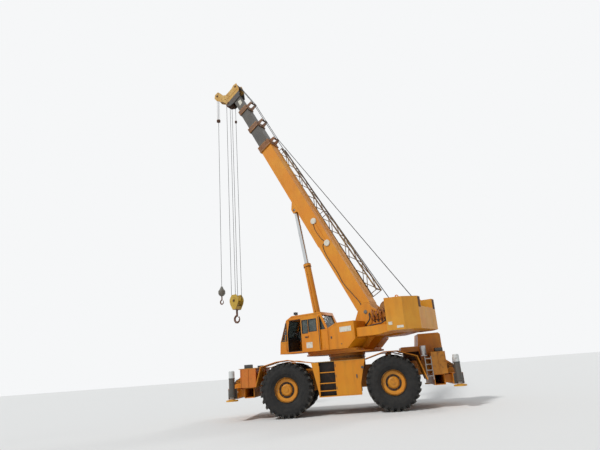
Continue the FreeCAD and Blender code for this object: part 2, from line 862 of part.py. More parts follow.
def knuckles():
    """A steering knuckle in each yoke: block, kingpin, spindle and brake plate."""
    for end, sign in (("front", 1), ("rear", -1)):
        for hand, side in LEFT_RIGHT:
            name = f"knuckle_{end}_{hand}"
            at = f"{sign} * wheelbase / 2"
            reach = "knuckle_tall + fit + yoke_plate"
            block_y = sorted((f"{side} * (kingpin_y - 0.55 * knuckle_half)", f"{side} * (kingpin_y + knuckle_half + 25)"), key=value)
            spindle_y = sorted((f"{side} * (kingpin_y + knuckle_half)", f"{side} * (wheel_track / 2 + hub_seat - fit)"), key=value)
            plate_y = sorted((f"{side} * (kingpin_y + knuckle_half + 20)", f"{side} * (kingpin_y + knuckle_half + 60)"), key=value)
            parts = [
                box(name + "_block", (f"{at} - knuckle_half", f"{at} + knuckle_half"), block_y, (f"{AXLE_Z} - knuckle_tall", f"{AXLE_Z} + knuckle_tall")),
                rod(name + "_kingpin", "z", "kingpin_radius", f"{AXLE_Z} - ({reach})", f"{AXLE_Z} + {reach}", (at, f"{side} * kingpin_y")),
                rod(name + "_spindle", "y", "spindle_radius", spindle_y[0], spindle_y[1], (at, AXLE_Z)),
                rod(name + "_brake", "y", "1.7 * spindle_radius", plate_y[0], plate_y[1], (at, AXLE_Z)),
            ]
            node(name, [fuse(name + "_fused", parts)])


def wheels():
    """Lugged tyres on deep rims with planetary hubs, one pair of solids a wheel."""
    bead = "rim_dia / 2 - 10 + fit"
    carcass = "tyre_dia / 2 - tyre_shoulder"
    half = "tyre_wide / 2"
    outer = [
        (bead, "-tyre_bead_half"),
        ("rim_dia / 2 + 40", "-tyre_bead_half - 25"),
        (f"0.62 * ({carcass})", f"-{half} + 14"),
        (f"0.76 * ({carcass})", f"-{half}"),
        (f"0.90 * ({carcass})", f"-{half} + 18"),
        (f"0.975 * ({carcass})", f"-{half} + 75"),
        (carcass, "-0.5 * tyre_wide / 2"),
    ]
    inner = [
        (f"{carcass} - tyre_skin", "-0.5 * tyre_wide / 2"),
        (f"0.90 * ({carcass}) - 15", f"-{half} + 18 + tyre_skin"),
        (f"0.76 * ({carcass})", f"-{half} + tyre_skin"),
        (f"0.60 * ({carcass})", f"-{half} + 14 + tyre_skin"),
        (bead, "-tyre_bead_half + 60"),
    ]
    mirrored = [(radius, f"-({height})") for radius, height in reversed(outer)]
    mirrored_inner = [(radius, f"-({height})") for radius, height in reversed(inner)]
    tyre = turned("tyre_carcass", outer + mirrored + mirrored_inner + inner, "y")
    count = int(value("lug_count"))
    carcass_feature = tyre.Tip
    axis = next(item for item in tyre.Origin.OriginFeatures if item.Role == "Y_Axis")
    for number, side in enumerate((1, -1)):
        near = f"{side} * lug_gap"
        far = f"{side} * tyre_wide / 2"
        shift = f"{side} * 0"
        loop = [
            (f"-lug_wide / 2 - lug_skew / 2 + {shift}", near),
            (f"lug_wide / 2 - lug_skew / 2 + {shift}", near),
            (f"0.42 * lug_wide + lug_skew / 2 + {shift}", far),
            (f"-0.42 * lug_wide + lug_skew / 2 + {shift}", far),
        ]
        sketch = tyre.newObject("Sketcher::SketchObject", f"lug_outline_{number}")
        plane = next(item for item in tyre.Origin.OriginFeatures if item.Role == "XY_Plane")
        sketch.AttachmentSupport = [(plane, "")]
        sketch.MapMode = "FlatFace"
        turn = FreeCAD.Rotation(FreeCAD.Vector(0, 1, 0), number * 180 / count)
        sketch.AttachmentOffset = FreeCAD.Placement(turn.multVec(FreeCAD.Vector(0, 0, value("lug_root"))), turn)
        draw(sketch, [loop])
        lug = tyre.newObject("PartDesign::Pad", f"lug_{number}")
        lug.Profile = sketch
        bind(lug, Length="tyre_dia / 2 - lug_root - 4.8")
        ring = tyre.newObject("PartDesign::PolarPattern", f"lugs_{number}")
        ring.Originals = [lug]
        ring.Axis = (axis, [""])
        ring.Angle = 360
        ring.Occurrences = count
        tyre.Tip = ring
    barrel = "rim_dia / 2 - 10"
    disc = "rim_disc"
    section = [
        (0, "hub_seat"),
        ("rim_ring_bore - 10", "hub_seat"),
        (f"{barrel} - rim_plate", f"{disc} - 60"),
        (f"{barrel} - rim_plate", "-tyre_bead_half - 30"),
        (f"{barrel} + rim_lip", "-tyre_bead_half - 45"),
        (f"{barrel} + rim_lip", "-tyre_bead_half - 30"),
        (barrel, "-tyre_bead_half - 5"),
        (barrel, "tyre_bead_half + 5"),
        (f"{barrel} + rim_lip", "tyre_bead_half + 30"),
        (f"{barrel} + rim_lip - 12", "tyre_bead_half + 45"),
        (f"{barrel} - rim_plate", "tyre_bead_half + 10"),
        (f"{barrel} - rim_plate - 12", f"{disc} + 12"),
        ("rim_ring_bore", disc),
        ("rim_ring_bore - 8", "hub_seat + 40"),
        ("hub_radius", "hub_seat + 40"),
        ("hub_radius - 12", "hub_nose - 30"),
        ("hub_radius - 50", "hub_nose"),
        (0, "hub_nose"),
    ]
    rim = turned("rim_turned", section, "y")
    for end, sign in (("front", 1), ("rear", -1)):
        for hand, side in LEFT_RIGHT:
            at = place(f"{sign} * wheelbase / 2", f"{side} * wheel_track / 2", AXLE_Z, (0, 0, 1), 0 if side > 0 else 180)
            node(f"tyre_{end}_{hand}", [tyre], at)
            node(f"rim_{end}_{hand}", [rim], at)


def outriggers():
    """Four beams with their jack barrels, and four jack rods with their floats."""
    half = "tube_side / 2 - tube_wall - slide_fit"
    for name, at, side in (
        ("front_left", "front_left_x", 1),
        ("front_right", "front_right_x", -1),
        ("rear_left", "rear_left_x", 1),
        ("rear_right", "rear_right_x", -1),
    ):
        inner = f"({half} - beam_wall)"
        loops = [
            [
                (f"{at} - {u}", f"outrigger_z - {u}"),
                (f"{at} + {u}", f"outrigger_z - {u}"),
                (f"{at} + {u}", f"outrigger_z + {u}"),
                (f"{at} - {u}", f"outrigger_z + {u}"),
            ]
            for u in (f"({half})", inner)
        ]
        beam_y = sorted((f"{side} * (60 - tube_half)", f"{side} * (jack_y - jack_radius - 5)"), key=value)
        end_y = sorted((f"{side} * (jack_y - jack_radius - 25)", f"{side} * (jack_y - jack_radius + 15)"), key=value)
        beam = slab(f"beam_{name}_tube", loops, beam_y)
        cap = box(f"beam_{name}_cap", (f"{at} - ({half})", f"{at} + {half}"), end_y, (f"outrigger_z - ({half})", f"outrigger_z + {half}"))
        barrel = turned(
            f"jack_{name}_barrel",
            [
                ("jack_rod + fit", "jack_low"),
                ("jack_radius + 12", "jack_low"),
                ("jack_radius + 12", "jack_low + 50"),
                ("jack_radius", "jack_low + 50"),
                ("jack_radius", "jack_top - 30"),
                ("jack_radius - 20", "jack_top"),
                (0, "jack_top"),
                (0, "jack_top - 30"),
                ("jack_rod + fit", "jack_top - 30"),
            ],
            "z",
        )
        move(barrel, at, f"{side} * jack_y", 0)
        bore = rod(f"jack_{name}_bore", "z", "jack_rod + fit", "jack_low - 10", "jack_top - 30", (at, f"{side} * jack_y"))
        body = fuse(f"beam_{name}_fused", [beam, cut(f"beam_{name}_bored", cap, bore), barrel])
        node(f"beam_{name}", [body])
        foot = turned(
            f"jack_{name}_rod",
            [
                (0, "jack_low - 20 - float_tall"),
                ("float_radius", "jack_low - 20 - float_tall"),
                ("float_radius", "jack_low - 20 - float_tall + float_rim"),
                ("jack_rod + 30", "jack_low - 85"),
                ("jack_rod + 30", "jack_low - 70"),
                ("jack_rod", "jack_low - 70"),
                ("jack_rod", "jack_top - 80"),
                (0, "jack_top - 80"),
            ],
            "z",
        )
        node(f"jack_{name}", [move(foot, at, f"{side} * jack_y", 0)])


def turntable():
    """Floor, cheeks that carry the boom and the lift cylinder, rear wings and the winch bed."""
    ring = turned(
        "upper_race",
        [
            ("ring_inner", "ring_top + fit"),
            ("ring_outer", "ring_top + fit"),
            ("ring_outer", "floor_top - floor_plate + 1"),
            ("ring_inner", "floor_top - floor_plate + 1"),
        ],
        "z",
    )
    floor = plan(
        "upper_floor",
        [
            [
                ("floor_front", "-0.6 * floor_side"),
                ("floor_front", "0.6 * floor_side"),
                ("floor_front - 380", "floor_side"),
                ("-floor_side", "floor_side"),
                ("-floor_side - 350", "0.6 * floor_side"),
                ("-floor_side - 350", "-0.6 * floor_side"),
                ("-floor_side", "-floor_side"),
                ("floor_front - 380", "-floor_side"),
            ]
        ],
        ("floor_top - floor_plate", "floor_top"),
    )
    cheek = [
        [
            ("floor_front - 20", "floor_top - 1"),
            ("floor_front - 20", "lift_z + 130"),
            ("lift_x - 120", "lift_z + 260"),
            ("pivot_x + 1.9 * pivot_boss", "pivot_z - 1.5 * pivot_boss"),
            ("pivot_x + pivot_boss", "pivot_z + 0.35 * pivot_boss"),
            ("pivot_x + 0.45 * pivot_boss", "pivot_z + pivot_boss"),
            ("pivot_x - 0.45 * pivot_boss", "pivot_z + pivot_boss"),
            ("pivot_x - pivot_boss", "pivot_z + 0.45 * pivot_boss"),
            ("tail_x", "bed_low + 120"),
            ("tail_x", "tail_low"),
            ("wing_front - 260", "wing_low"),
            ("-floor_side", "floor_top - 1"),
        ],
        ("pivot_x", "pivot_z", "pivot_radius + fit"),
        ("lift_x", "lift_z", "lift_pin + fit"),
    ]
    wing = [
        ("wing_front", "wing_low"),
        ("tail_x + 500", "wing_low"),
        ("tail_x", "tail_low"),
        ("tail_x", "wing_top"),
        ("wing_front", "wing_top"),
    ]
    parts = [ring, floor]
    for hand, side in LEFT_RIGHT:
        y = sorted((f"{side} * cheek_inner", f"{side} * (cheek_inner + cheek_plate)"), key=value)
        parts.append(slab(f"cheek_{hand}", cheek, y))
        y = sorted((f"{side} * (cheek_inner + 1)", f"{side} * wing_outer"), key=value)
        parts.append(slab(f"wing_{hand}", [wing], y))
        arm_y = sorted((f"{side} * (cheek_inner + 1)", f"{side} * (floor_side + 100)"), key=value)
        parts.append(box(f"cab_arm_{hand}", ("box_back + 200", "floor_front - 380"), arm_y, ("floor_top - 1", "box_low")))
    parts.append(box("winch_bed", ("tail_x", "pivot_x - pivot_boss - 150"), ("-cheek_inner - 1", "cheek_inner + 1"), ("bed_low", "bed_low + 50")))
    parts.append(box("tail_floor", ("tail_x", "wing_front - 260"), ("-cheek_inner - 1", "cheek_inner + 1"), ("tail_low", "tail_low + 50")))
    node("turntable", [fuse("turntable_fused", parts)], UPPER)


def counterweight():
    """A three-faced tail weight with a well for the rear winch and a notch behind it."""
    outline = [
        ("tail_x", "-weight_half"),
        ("tail_x", "weight_half"),
        ("weight_mid_x", "weight_mid_half"),
        ("weight_end_x", "weight_end_half"),
        ("weight_end_x", "-weight_end_half"),
        ("weight_mid_x", "-weight_mid_half"),
    ]
    block = plan("weight_block", [outline], ("tail_low", "weight_top"))
    well = box("weight_well", ("weight_end_x + well_wall", "tail_x + 10"), ("-well_half", "well_half"), ("well_low", "weight_top + 10"))
    notch = box("weight_notch", ("weight_end_x - 10", "weight_end_x + well_wall + 10"), ("-well_half", "well_half"), ("notch_low", "weight_top + 10"))
    node("counterweight", [cut("weight_notched", cut("weight_welled", block, well), notch)], UPPER)


def winches():
    """Two hoist drums with rope layers, flanges, side plates and feet."""
    solids = []
    for name, at, foot in (
        ("winch_main", "winch_main_x", "bed_low + 50"),
        ("winch_aux", "winch_aux_x", "well_low"),
    ):
        drum = turned(
            name + "_drum",
            [
                (0, "-drum_half - winch_plate / 2"),
                ("flange_radius", "-drum_half - winch_plate / 2"),
                ("flange_radius", "-drum_half + 20"),
                ("drum_radius", "-drum_half + 20"),
                ("drum_radius", "drum_half - 20"),
                ("flange_radius", "drum_half - 20"),
                ("flange_radius", "drum_half + winch_plate / 2"),
                (0, "drum_half + winch_plate / 2"),
            ],
            "y",
        )
        move(drum, at, 0, "winch_z")
        plate = [
            (f"{at} - winch_foot", foot),
            (f"{at} + winch_foot", foot),
            (f"{at} + 0.6 * winch_foot", "winch_z + 0.5 * drum_radius"),
            (f"{at} - 0.6 * winch_foot", "winch_z + 0.5 * drum_radius"),
        ]
        parts = [drum]
        for hand, side in LEFT_RIGHT:
            y = sorted((f"{side} * (drum_half + winch_plate / 2 - 2)", f"{side} * (drum_half + 1.5 * winch_plate)"), key=value)
            parts.append(slab(f"{name}_plate_{hand}", [plate], y))
        motor = rod(name + "_motor", "y", "0.5 * drum_radius", "drum_half", "drum_half + 2.4 * winch_plate", (at, "winch_z"))
        parts.append(motor)
        solids.append(fuse(name + "_fused", parts))
    node("winches", solids, UPPER)


def cab():
    """A hollow cab of panels: raked screen, roof, leaning back, side walls with their openings."""
    wall = "cab_wall"
    outer = [
        ("cab_nose", "cab_low"),
        ("glass_low_x", "glass_low"),
        ("glass_top_x", "glass_top"),
        ("cab_brow", "cab_top"),
        ("cab_roof_back", "cab_top"),
        ("cab_back", "back_bend"),
        ("cab_back", "cab_low"),
    ]
    inner = [
        (f"cab_nose - {wall}", f"cab_low + {wall}"),
        (f"glass_low_x - {wall}", "glass_low"),
        (f"glass_top_x - {wall}", f"glass_top - 0.5 * {wall}"),
        ("cab_brow - 20", f"cab_top - {wall}"),
        (f"cab_roof_back + 0.6 * {wall}", f"cab_top - {wall}"),
        (f"cab_back + {wall}", "back_bend"),
        (f"cab_back + {wall}", f"cab_low + {wall}"),
    ]
    loop = slab("cab_loop", [outer, inner], ("cab_inner", "cab_outer"))
    inset = "cab_wall + 50"
    screen = slab(
        "screen_hole",
        [
            [
                ("glass_low_x + 100", "glass_low + 40"),
                ("glass_top_x + 100", "glass_top - 20"),
                ("glass_top_x - 120", "glass_top - 70"),
                ("glass_low_x - 120", "glass_low + 30"),
            ]
        ],
        (f"cab_inner + {inset}", f"cab_outer - {inset}"),
    )
    back = slab(
        "back_hole",
        [
            [
                ("cab_back - 50", "back_bend + 60"),
                ("cab_roof_back - 100", "cab_top - 110"),
                ("cab_roof_back + 150", "cab_top - 130"),
                ("cab_back + 250", "back_bend + 40"),
            ]
        ],
        (f"cab_inner + {inset}", f"cab_outer - {inset}"),
    )
    roof = box("roof_hole", ("cab_roof_back + 350", "cab_brow - 200"), (f"cab_inner + {inset} + 60", f"cab_outer - {inset} - 60"), ("cab_top - 100", "cab_top + 20"))
    holes = fuse("cab_cutters", [screen, back, roof])
    doorway = [
        ("doorway_back", "doorway_low"),
        ("doorway_front", "doorway_low"),
        ("doorway_front", "glass_low + 300"),
        ("doorway_front - 120", "doorway_top"),
        ("doorway_back", "doorway_top"),
    ]
    front_light = [
        ("doorway_front + 60", "glass_low + 60"),
        ("glass_low_x - 90", "glass_low + 60"),
        ("doorway_front + 60", "glass_top - 160"),
    ]
    rear_light = [
        ("cab_back + 110", "back_bend + 20"),
        ("door_back + 30", "back_bend + 20"),
        ("door_back + 30", "cab_top - 200"),
        ("cab_roof_back + 20", "cab_top - 200"),
    ]
    right_light = [
        ("cab_back + 160", "glass_low + 60"),
        ("glass_low_x - 120", "glass_low + 60"),
        ("glass_top_x - 110", "glass_top - 60"),
        ("cab_roof_back + 60", "glass_top - 60"),
        ("cab_back + 160", "back_bend + 60"),
    ]
    shape = [corner for corner in outer]
    left = slab("cab_left", [shape, doorway, front_light, rear_light], (f"cab_outer - {wall}", "cab_outer"))
    right = slab("cab_right", [shape, right_light], ("cab_inner", f"cab_inner + {wall}"))
    rail = box("door_rail", ("cab_back + 60", "doorway_front + 20"), ("cab_outer - 1", "cab_outer + 12 + door_plate"), ("door_low - 20", "door_low - fit"))
    rail_top = box("door_rail_top", ("cab_roof_back + 30", "doorway_front - 60"), ("cab_outer - 1", "cab_outer + 12 + door_plate"), ("door_top + fit", "door_top + 20"))
    lamp_foot = box("roof_lamp_foot", ("cab_brow - 100", "cab_brow - 60"), ("cab_outer - 220", "cab_outer - 180"), ("cab_top", "cab_top + 50"))
    lamp = box("roof_lamp", ("cab_brow - 120", "cab_brow - 20"), ("cab_outer - 270", "cab_outer - 130"), ("cab_top + 45", "cab_top + 145"))
    body = fuse("cab_fused", [cut("cab_loop_open", loop, holes), left, right, rail, rail_top])
    node("cab", [body], UPPER)
    return fuse("roof_lamp_fused", [lamp_foot, lamp])


def cab_fittings(roof_lamp):
    """Glass behind each opening, the sliding door, and the seat with its levers."""
    lap = "pane_lap"
    wall = "cab_wall"
    panes = []
    left_y = (f"cab_outer - {wall} - fit - pane", f"cab_outer - {wall} - fit")
    right_y = (f"cab_inner + {wall} + fit", f"cab_inner + {wall} + fit + pane")
    panes.append(
        slab(
            "pane_front_light",
            [[(f"doorway_front + 60 - {lap}", f"glass_low + 60 - {lap}"), (f"glass_low_x - 90 - {lap}", f"glass_low + 60 - {lap}"), (f"doorway_front + 60 - {lap}", f"glass_top - 160 + {lap}")]],
            left_y,
        )
    )
    panes.append(
        slab(
            "pane_rear_light",
            [
                [
                    ("cab_back + 115", f"back_bend + 20 - {lap}"),
                    (f"door_back + 30 + {lap}", f"back_bend + 20 - {lap}"),
                    (f"door_back + 30 + {lap}", f"cab_top - 200 + {lap}"),
                    ("cab_roof_back + 50", f"cab_top - 200 + {lap}"),
                ]
            ],
            left_y,
        )
    )
    panes.append(
        slab(
            "pane_right",
            [
                [
                    (f"cab_back + 160 - {lap}", f"glass_low + 60 - {lap}"),
                    (f"glass_low_x - 120 + {lap} / 2", f"glass_low + 60 - {lap}"),
                    (f"glass_top_x - 110 + {lap} / 2", f"glass_top - 60 + {lap}"),
                    (f"cab_roof_back + 60 - {lap} / 2", f"glass_top - 60 + {lap}"),
                    (f"cab_back + 160 - {lap}", f"back_bend + 60 + {lap}"),
                ]
            ],
            right_y,
        )
    )
    across = (f"cab_inner + {wall} + 20", f"cab_outer - {wall} - 20")
    panes.append(
        slab(
            "pane_screen",
            [
                [
                    (f"glass_low_x - {wall} - fit", "glass_low"),
                    (f"glass_top_x - {wall} - fit", f"glass_top - 0.5 * {wall}"),
                    (f"glass_top_x - {wall} - fit - pane", f"glass_top - 0.5 * {wall}"),
                    (f"glass_low_x - {wall} - fit - pane", "glass_low"),
                ]
            ],
            across,
        )
    )
    panes.append(
        slab(
            "pane_back",
            [
                [
                    (f"cab_back + {wall} + fit", "back_bend"),
                    (f"cab_roof_back + 0.6 * {wall} + fit", f"cab_top - {wall} - fit"),
                    (f"cab_roof_back + 0.6 * {wall} + fit + pane", f"cab_top - {wall} - fit"),
                    (f"cab_back + {wall} + fit + pane", "back_bend"),
                ]
            ],
            across,
        )
    )
    panes.append(box("pane_roof", ("cab_roof_back + 340", "cab_brow - 190"), (f"cab_inner + {wall} + 90", f"cab_outer - {wall} - 90"), (f"cab_top - {wall} - fit - pane", f"cab_top - {wall} - fit")))
    node("cab_glass", panes, UPPER)
    door = [("door_back", "door_low"), ("door_front", "door_low"), ("door_front", "door_top"), ("door_back", "door_top")]
    light = [
        ("door_back + 525", "glass_low + 230"),
        ("door_front - 50", "glass_low + 230"),
        ("door_front - 50", "door_top - 80"),
        ("door_back + 525", "door_top - 80"),
    ]
    back = [
        ("door_back + 130", "glass_low + 270"),
        ("door_back + 485", "glass_low + 270"),
        ("door_back + 485", "door_top - 80"),
        ("door_back + 130", "door_top - 80"),
    ]
    skin_y = ("cab_outer + 12 + slide_fit", "cab_outer + 12 + slide_fit + door_plate")
    skin = slab("door_skin", [door, light, back], skin_y)
    handle = box("door_handle", ("door_front - 330", "door_front - 200"), ("cab_outer + 11 + door_plate", "cab_outer + 12 + door_plate + 35"), ("glass_low + 90", "glass_low + 130"))
    node("cab_door", [fuse("door_fused", [skin, handle])], UPPER)
    cushions = [
        box("seat_base", ("seat_x - 180", "seat_x + 180"), ("cab_inner + 260", "cab_outer - 260"), (f"cab_low + {wall}", "cab_low + 420")),
        box("seat_cushion", ("seat_x - 250", "seat_x + 260"), ("cab_inner + 200", "cab_outer - 200"), ("cab_low + 419", "cab_low + 530")),
        slab("seat_back", [[("seat_x - 260", "cab_low + 500"), ("seat_x - 130", "cab_low + 500"), ("seat_x - 250", "cab_low + 1120"), ("seat_x - 350", "cab_low + 1120")]], ("cab_inner + 210", "cab_outer - 210")),
    ]
    desk = slab("cab_desk", [[("glass_low_x - 130", f"cab_low + {wall}"), ("glass_low_x - 150", "cab_low + 480"), ("glass_low_x - 300", "cab_low + 620"), ("glass_low_x - 380", "cab_low + 560"), ("glass_low_x - 330", f"cab_low + {wall}")]], ("cab_inner + 120", "cab_outer - 160"))
    node("cab_fittings", [fuse("seat_fused", cushions), desk, roof_lamp], UPPER)


def side_boxes():
    """The box behind the cab with its cut corner, and a plain one on the other side."""
    left = [
        ("box_front", "box_low"),
        ("box_front", "box_top - 150"),
        ("box_front - 345", "box_top"),
        ("box_back", "box_top"),
        ("box_back", "box_low + 300"),
        ("box_back + 330", "box_low"),
    ]
    right = [
        ("box_front + 500", "box_low"),
        ("box_front + 500", "box_top - 200"),
        ("box_back", "box_top - 200"),
        ("box_back", "box_low + 300"),
        ("box_back + 330", "box_low"),
    ]
    node(
        "side_boxes",
        [
            slab("side_box_left", [left], ("box_inner", "cab_outer")),
            slab("side_box_right", [right], ("-cab_outer", "-box_inner")),
        ],
        UPPER,
    )


def rope_guide(name, front, tall):
    """Two plates on a collar and a roller that keeps the hoist ropes off the boom."""
    top = f"boom_half_tall + guide_rise"
    parts = []
    for hand, side in LEFT_RIGHT:
        y = sorted((f"{side} * guide_half", f"{side} * (guide_half + guide_plate)"), key=value)
        parts.append(slab(f"{name}_{hand}", [[(f"{front} - 260", f"({tall}) - 1"), (f"{front} - 40", f"({tall}) - 1"), (f"{front} - 90", f"{top} + 50"), (f"{front} - 210", f"{top} + 50")]], y))
    parts.append(rod(name + "_roller", "y", "guide_radius", "-guide_half - 1", "guide_half + 1", (f"{front} - 150", top)))
    return parts


def boom():
    """Base section on its foot pin and three sliding sections, each with a collar and rear pads."""
    outer = [
        ("-boom_foot", "-0.4 * boom_foot"),
        ("-0.4 * boom_foot", "-boom_foot"),
        ("1.2 * boom_foot", "-boom_half_tall"),
        ("boom_long", "-boom_half_tall"),
        ("boom_long", "boom_half_tall"),
        ("1.2 * boom_foot", "boom_half_tall"),
        ("-0.4 * boom_foot", "boom_foot"),
        ("-boom_foot", "0.4 * boom_foot"),
    ]
    shell = slab("base_outer", [outer, ("0", "0", "pivot_radius + fit")], ("-boom_half_wide", "boom_half_wide"))
    hollow = box("base_hollow", ("boom_bulkhead", "boom_long + 10"), ("-boom_half_wide + boom_wall", "boom_half_wide - boom_wall"), ("-boom_half_tall + boom_wall", "boom_half_tall - boom_wall"))
    stages = []
    tall, wide = "boom_half_tall", "boom_half_wide"
    for number in (2, 3, 4):
        tall = f"({tall} - stage_step_tall)"
        wide = f"({wide} - stage_step_wide)"
        stages.append((number, tall, wide))
    collar = cut(
        "base_collar",
        box("base_collar_outer", ("boom_long - collar_long", "boom_long"), ("-boom_half_wide - collar_lip", "boom_half_wide + collar_lip"), ("-boom_half_tall - collar_lip", "boom_half_tall + collar_lip")),
        box("base_collar_bore", ("boom_long - collar_long - 1", "boom_long + 1"), (f"-{stages[0][2]} - slide_fit", f"{stages[0][2]} + slide_fit"), (f"-{stages[0][1]} - slide_fit", f"{stages[0][1]} + slide_fit")),
    )
    belly = box("base_belly", ("belly_from", "belly_to"), ("-boom_half_wide + 40", "boom_half_wide - 40"), ("-boom_half_tall - belly_plate", "-boom_half_tall + 1"))
    strip = box("base_strip", ("strip_from", "strip_to"), ("boom_half_wide - 1", "boom_half_wide + 25"), ("strip_high - 30", "strip_high + 30"))
    parts = [cut("base_tube", shell, hollow), collar, belly, strip]
    for number, at in enumerate(("strip_from", "strip_to")):
        parts.append(rod(f"base_fitting_{number}", "y", "fitting_radius", "boom_half_wide - 1", "boom_half_wide + 45", (at, "strip_high")))
    for hand, side in LEFT_RIGHT:
        y = sorted((f"{side} * (boom_half_wide - 1)", f"{side} * (cheek_inner - fit)"), key=value)
        boss = turned(f"foot_boss_{hand}", [("pivot_radius + fit", y[0]), ("2.2 * pivot_radius", y[0]), ("2.2 * pivot_radius", y[1]), ("pivot_radius + fit", y[1])], "y")
        parts.append(boss)
        y = sorted((f"{side} * (eye_half + ear_gap)", f"{side} * (eye_half + ear_gap + ear_plate)"), key=value)
        ear = [
            [
                ("eye_along - 185", "-boom_half_tall + 1"),
                ("eye_along + 480", "-boom_half_tall + 1"),
                ("eye_along + eye_radius", "-eye_below - eye_radius"),
                ("eye_along - eye_radius", "-eye_below - eye_radius"),
            ],
            ("eye_along", "-eye_below", "eye_bore"),
        ]
        parts.append(slab(f"lift_ear_{hand}", ear, y))
    parts += rope_guide("base_guide", "boom_long", "boom_half_tall + collar_lip")
    for number, at in enumerate(("jib_from + 900", "jib_to - 1300")):
        arm_y = ("-jib_inner - chord_radius", "-boom_half_wide + 1")
        parts.append(box(f"jib_arm_{number}", (at, f"{at} + jib_arm"), arm_y, ("jib_low - chord_radius - 60", "jib_low - chord_radius")))
    node("boom_base", [fuse("boom_base_fused", parts)], BOOM)
    node("boom_pin", [rod("boom_pin_bar", "y", "pivot_radius", "-cheek_inner - cheek_plate - 20", "cheek_inner + cheek_plate + 20", (0, 0))], BOOM)
    front = "boom_long"
    outer_tall, outer_wide, outer_wall = "boom_half_tall", "boom_half_wide", "boom_wall"
    for index, (number, tall, wide) in enumerate(stages):
        front = f"({front} + stage_out)"
        rear = f"({front} - stage_long_{number})"
        name = f"boom_section_{number}"
        parts = [square_ring(name + "_tube", (rear, front), tall, wide, "stage_wall")]
        pad = cut(
            name + "_pads",
            box(
                name + "_pads_outer",
                (rear, f"{rear} + pad_long"),
                (f"-({outer_wide} - {outer_wall} - slide_fit)", f"{outer_wide} - {outer_wall} - slide_fit"),
                (f"-({outer_tall} - {outer_wall} - slide_fit)", f"{outer_tall} - {outer_wall} - slide_fit"),
            ),
            box(name + "_pads_bore", (f"{rear} - 1", f"{rear} + pad_long + 1"), (f"-({wide} - 1)", f"{wide} - 1"), (f"-({tall} - 1)", f"{tall} - 1")),
        )
        parts.append(pad)
        if number < 4:
            next_tall, next_wide = stages[index + 1][1:]
            parts.append(
                cut(
                    name + "_collar",
                    box(name + "_collar_outer", (f"{front} - 0.8 * collar_long", front), (f"-({wide} + stage_lip)", f"{wide} + stage_lip"), (f"-({tall} + stage_lip)", f"{tall} + stage_lip")),
                    box(name + "_collar_bore", (f"{front} - collar_long", f"{front} + 1"), (f"-({next_wide} + slide_fit)", f"{next_wide} + slide_fit"), (f"-({next_tall} + slide_fit)", f"{next_tall} + slide_fit")),
                )
            )
            parts += rope_guide(name + "_guide", front, f"{tall} + stage_lip")
        node(name, [fuse(name + "_fused", parts)], BOOM)
        outer_tall, outer_wide, outer_wall = tall, wide, "stage_wall"
    return stages[-1][1], stages[-1][2]


def sheave(name, along, up, radius, y):
    """A grooved sheave with a bore for nothing: it turns with its pin."""
    section = [
        (0, f"-sheave_wide / 2"),
        (radius, f"-sheave_wide / 2"),
        (f"{radius} - sheave_groove", f"-sheave_wide / 8"),
        (f"{radius} - sheave_groove", f"sheave_wide / 8"),
        (radius, f"sheave_wide / 2"),
        (0, f"sheave_wide / 2"),
    ]
    return move(turned(name, section, "y"), along, y, up)


def boom_head(half_tall, half_wide):
    """Side plates that hook forward over the hoist sheaves, with cross plates and top idlers."""
    tip = "(boom_long + 3 * stage_out)"
    outline = [
        (f"{tip} - 620", f"-{half_tall}"),
        (f"{tip} - 560", "-sheave_below + 20"),
        (f"sheave_along - 120", "-sheave_below - 100"),
        (f"sheave_along + 180", "-sheave_below - 100"),
        ("whip_along - 420", "-whip_below + 10"),
        ("whip_along - 150", "-whip_below - 190"),
        ("whip_along + 90", "-whip_below - 200"),
        ("whip_along + 230", "-whip_below - 20"),
        ("whip_along + 240", "-whip_below + 280"),
        ("idler_along + 340", "idler_above + 20"),
        ("idler_along + 90", "idler_above + 180"),
        (f"idler_along - 260", "idler_above + 90"),
        (f"{tip} - 620", half_tall),
    ]
    parts = []
    inner = f"({half_wide} + fit)"
    for hand, side in LEFT_RIGHT:
        y = sorted((f"{side} * {inner}", f"{side} * ({inner} + head_plate)"), key=value)
        holes = [("sheave_along", "-sheave_below", "sheave_pin + fit"), ("whip_along", "-whip_below", "sheave_pin + fit")]
        parts.append(slab(f"head_plate_{hand}", [outline, *holes], y))
    span = (f"-{inner} - 1", f"{inner} + 1")
    parts.append(box("head_cross", (f"{tip} + fit", f"{tip} + 60"), span, (f"-{half_tall}", "idler_above - idler_radius - 30")))
    nose = [("whip_along + 150", "-whip_below + 340"), ("whip_along + 195", "-whip_below + 330"), ("idler_along + 280", "idler_above - 60"), ("idler_along + 235", "idler_above - 60")]
    parts.append(slab("head_nose", [nose], span))
    parts.append(rod("idler_pin", "y", "sheave_pin", f"-{inner} - 1", f"{inner} + 1", ("idler_along", "idler_above")))
    for number, y in enumerate(("-sheave_pitch", "sheave_pitch")):
        parts.append(sheave(f"idler_{number}", "idler_along", "idler_above", "idler_radius", y))
    node("boom_head", [fuse("boom_head_fused", parts)], BOOM)
    reach = f"{inner} + head_plate + 15"
    parts = [rod("main_sheave_pin", "y", "sheave_pin", f"-({reach})", reach, ("sheave_along", "-sheave_below"))]
    for number in range(4):
        y = f"{number - 1.5} * sheave_pitch"
        parts.append(sheave(f"main_sheave_{number}", "sheave_along", "-sheave_below", "sheave_radius", y))
    node("main_sheaves", [fuse("main_sheaves_fused", parts)], BOOM)
    parts = [rod("whip_sheave_pin", "y", "sheave_pin", f"-({reach})", reach, ("whip_along", "-whip_below"))]
    parts.append(sheave("whip_sheave_disc", "whip_along", "-whip_below", "whip_radius", 0))
    node("whip_sheave", [fuse("whip_sheave_fused", parts)], BOOM)


def bar(start, end, radius):
    """A round bar from one point to another."""
    run = end - start
    return Part.makeCylinder(radius, run.Length, start, run)


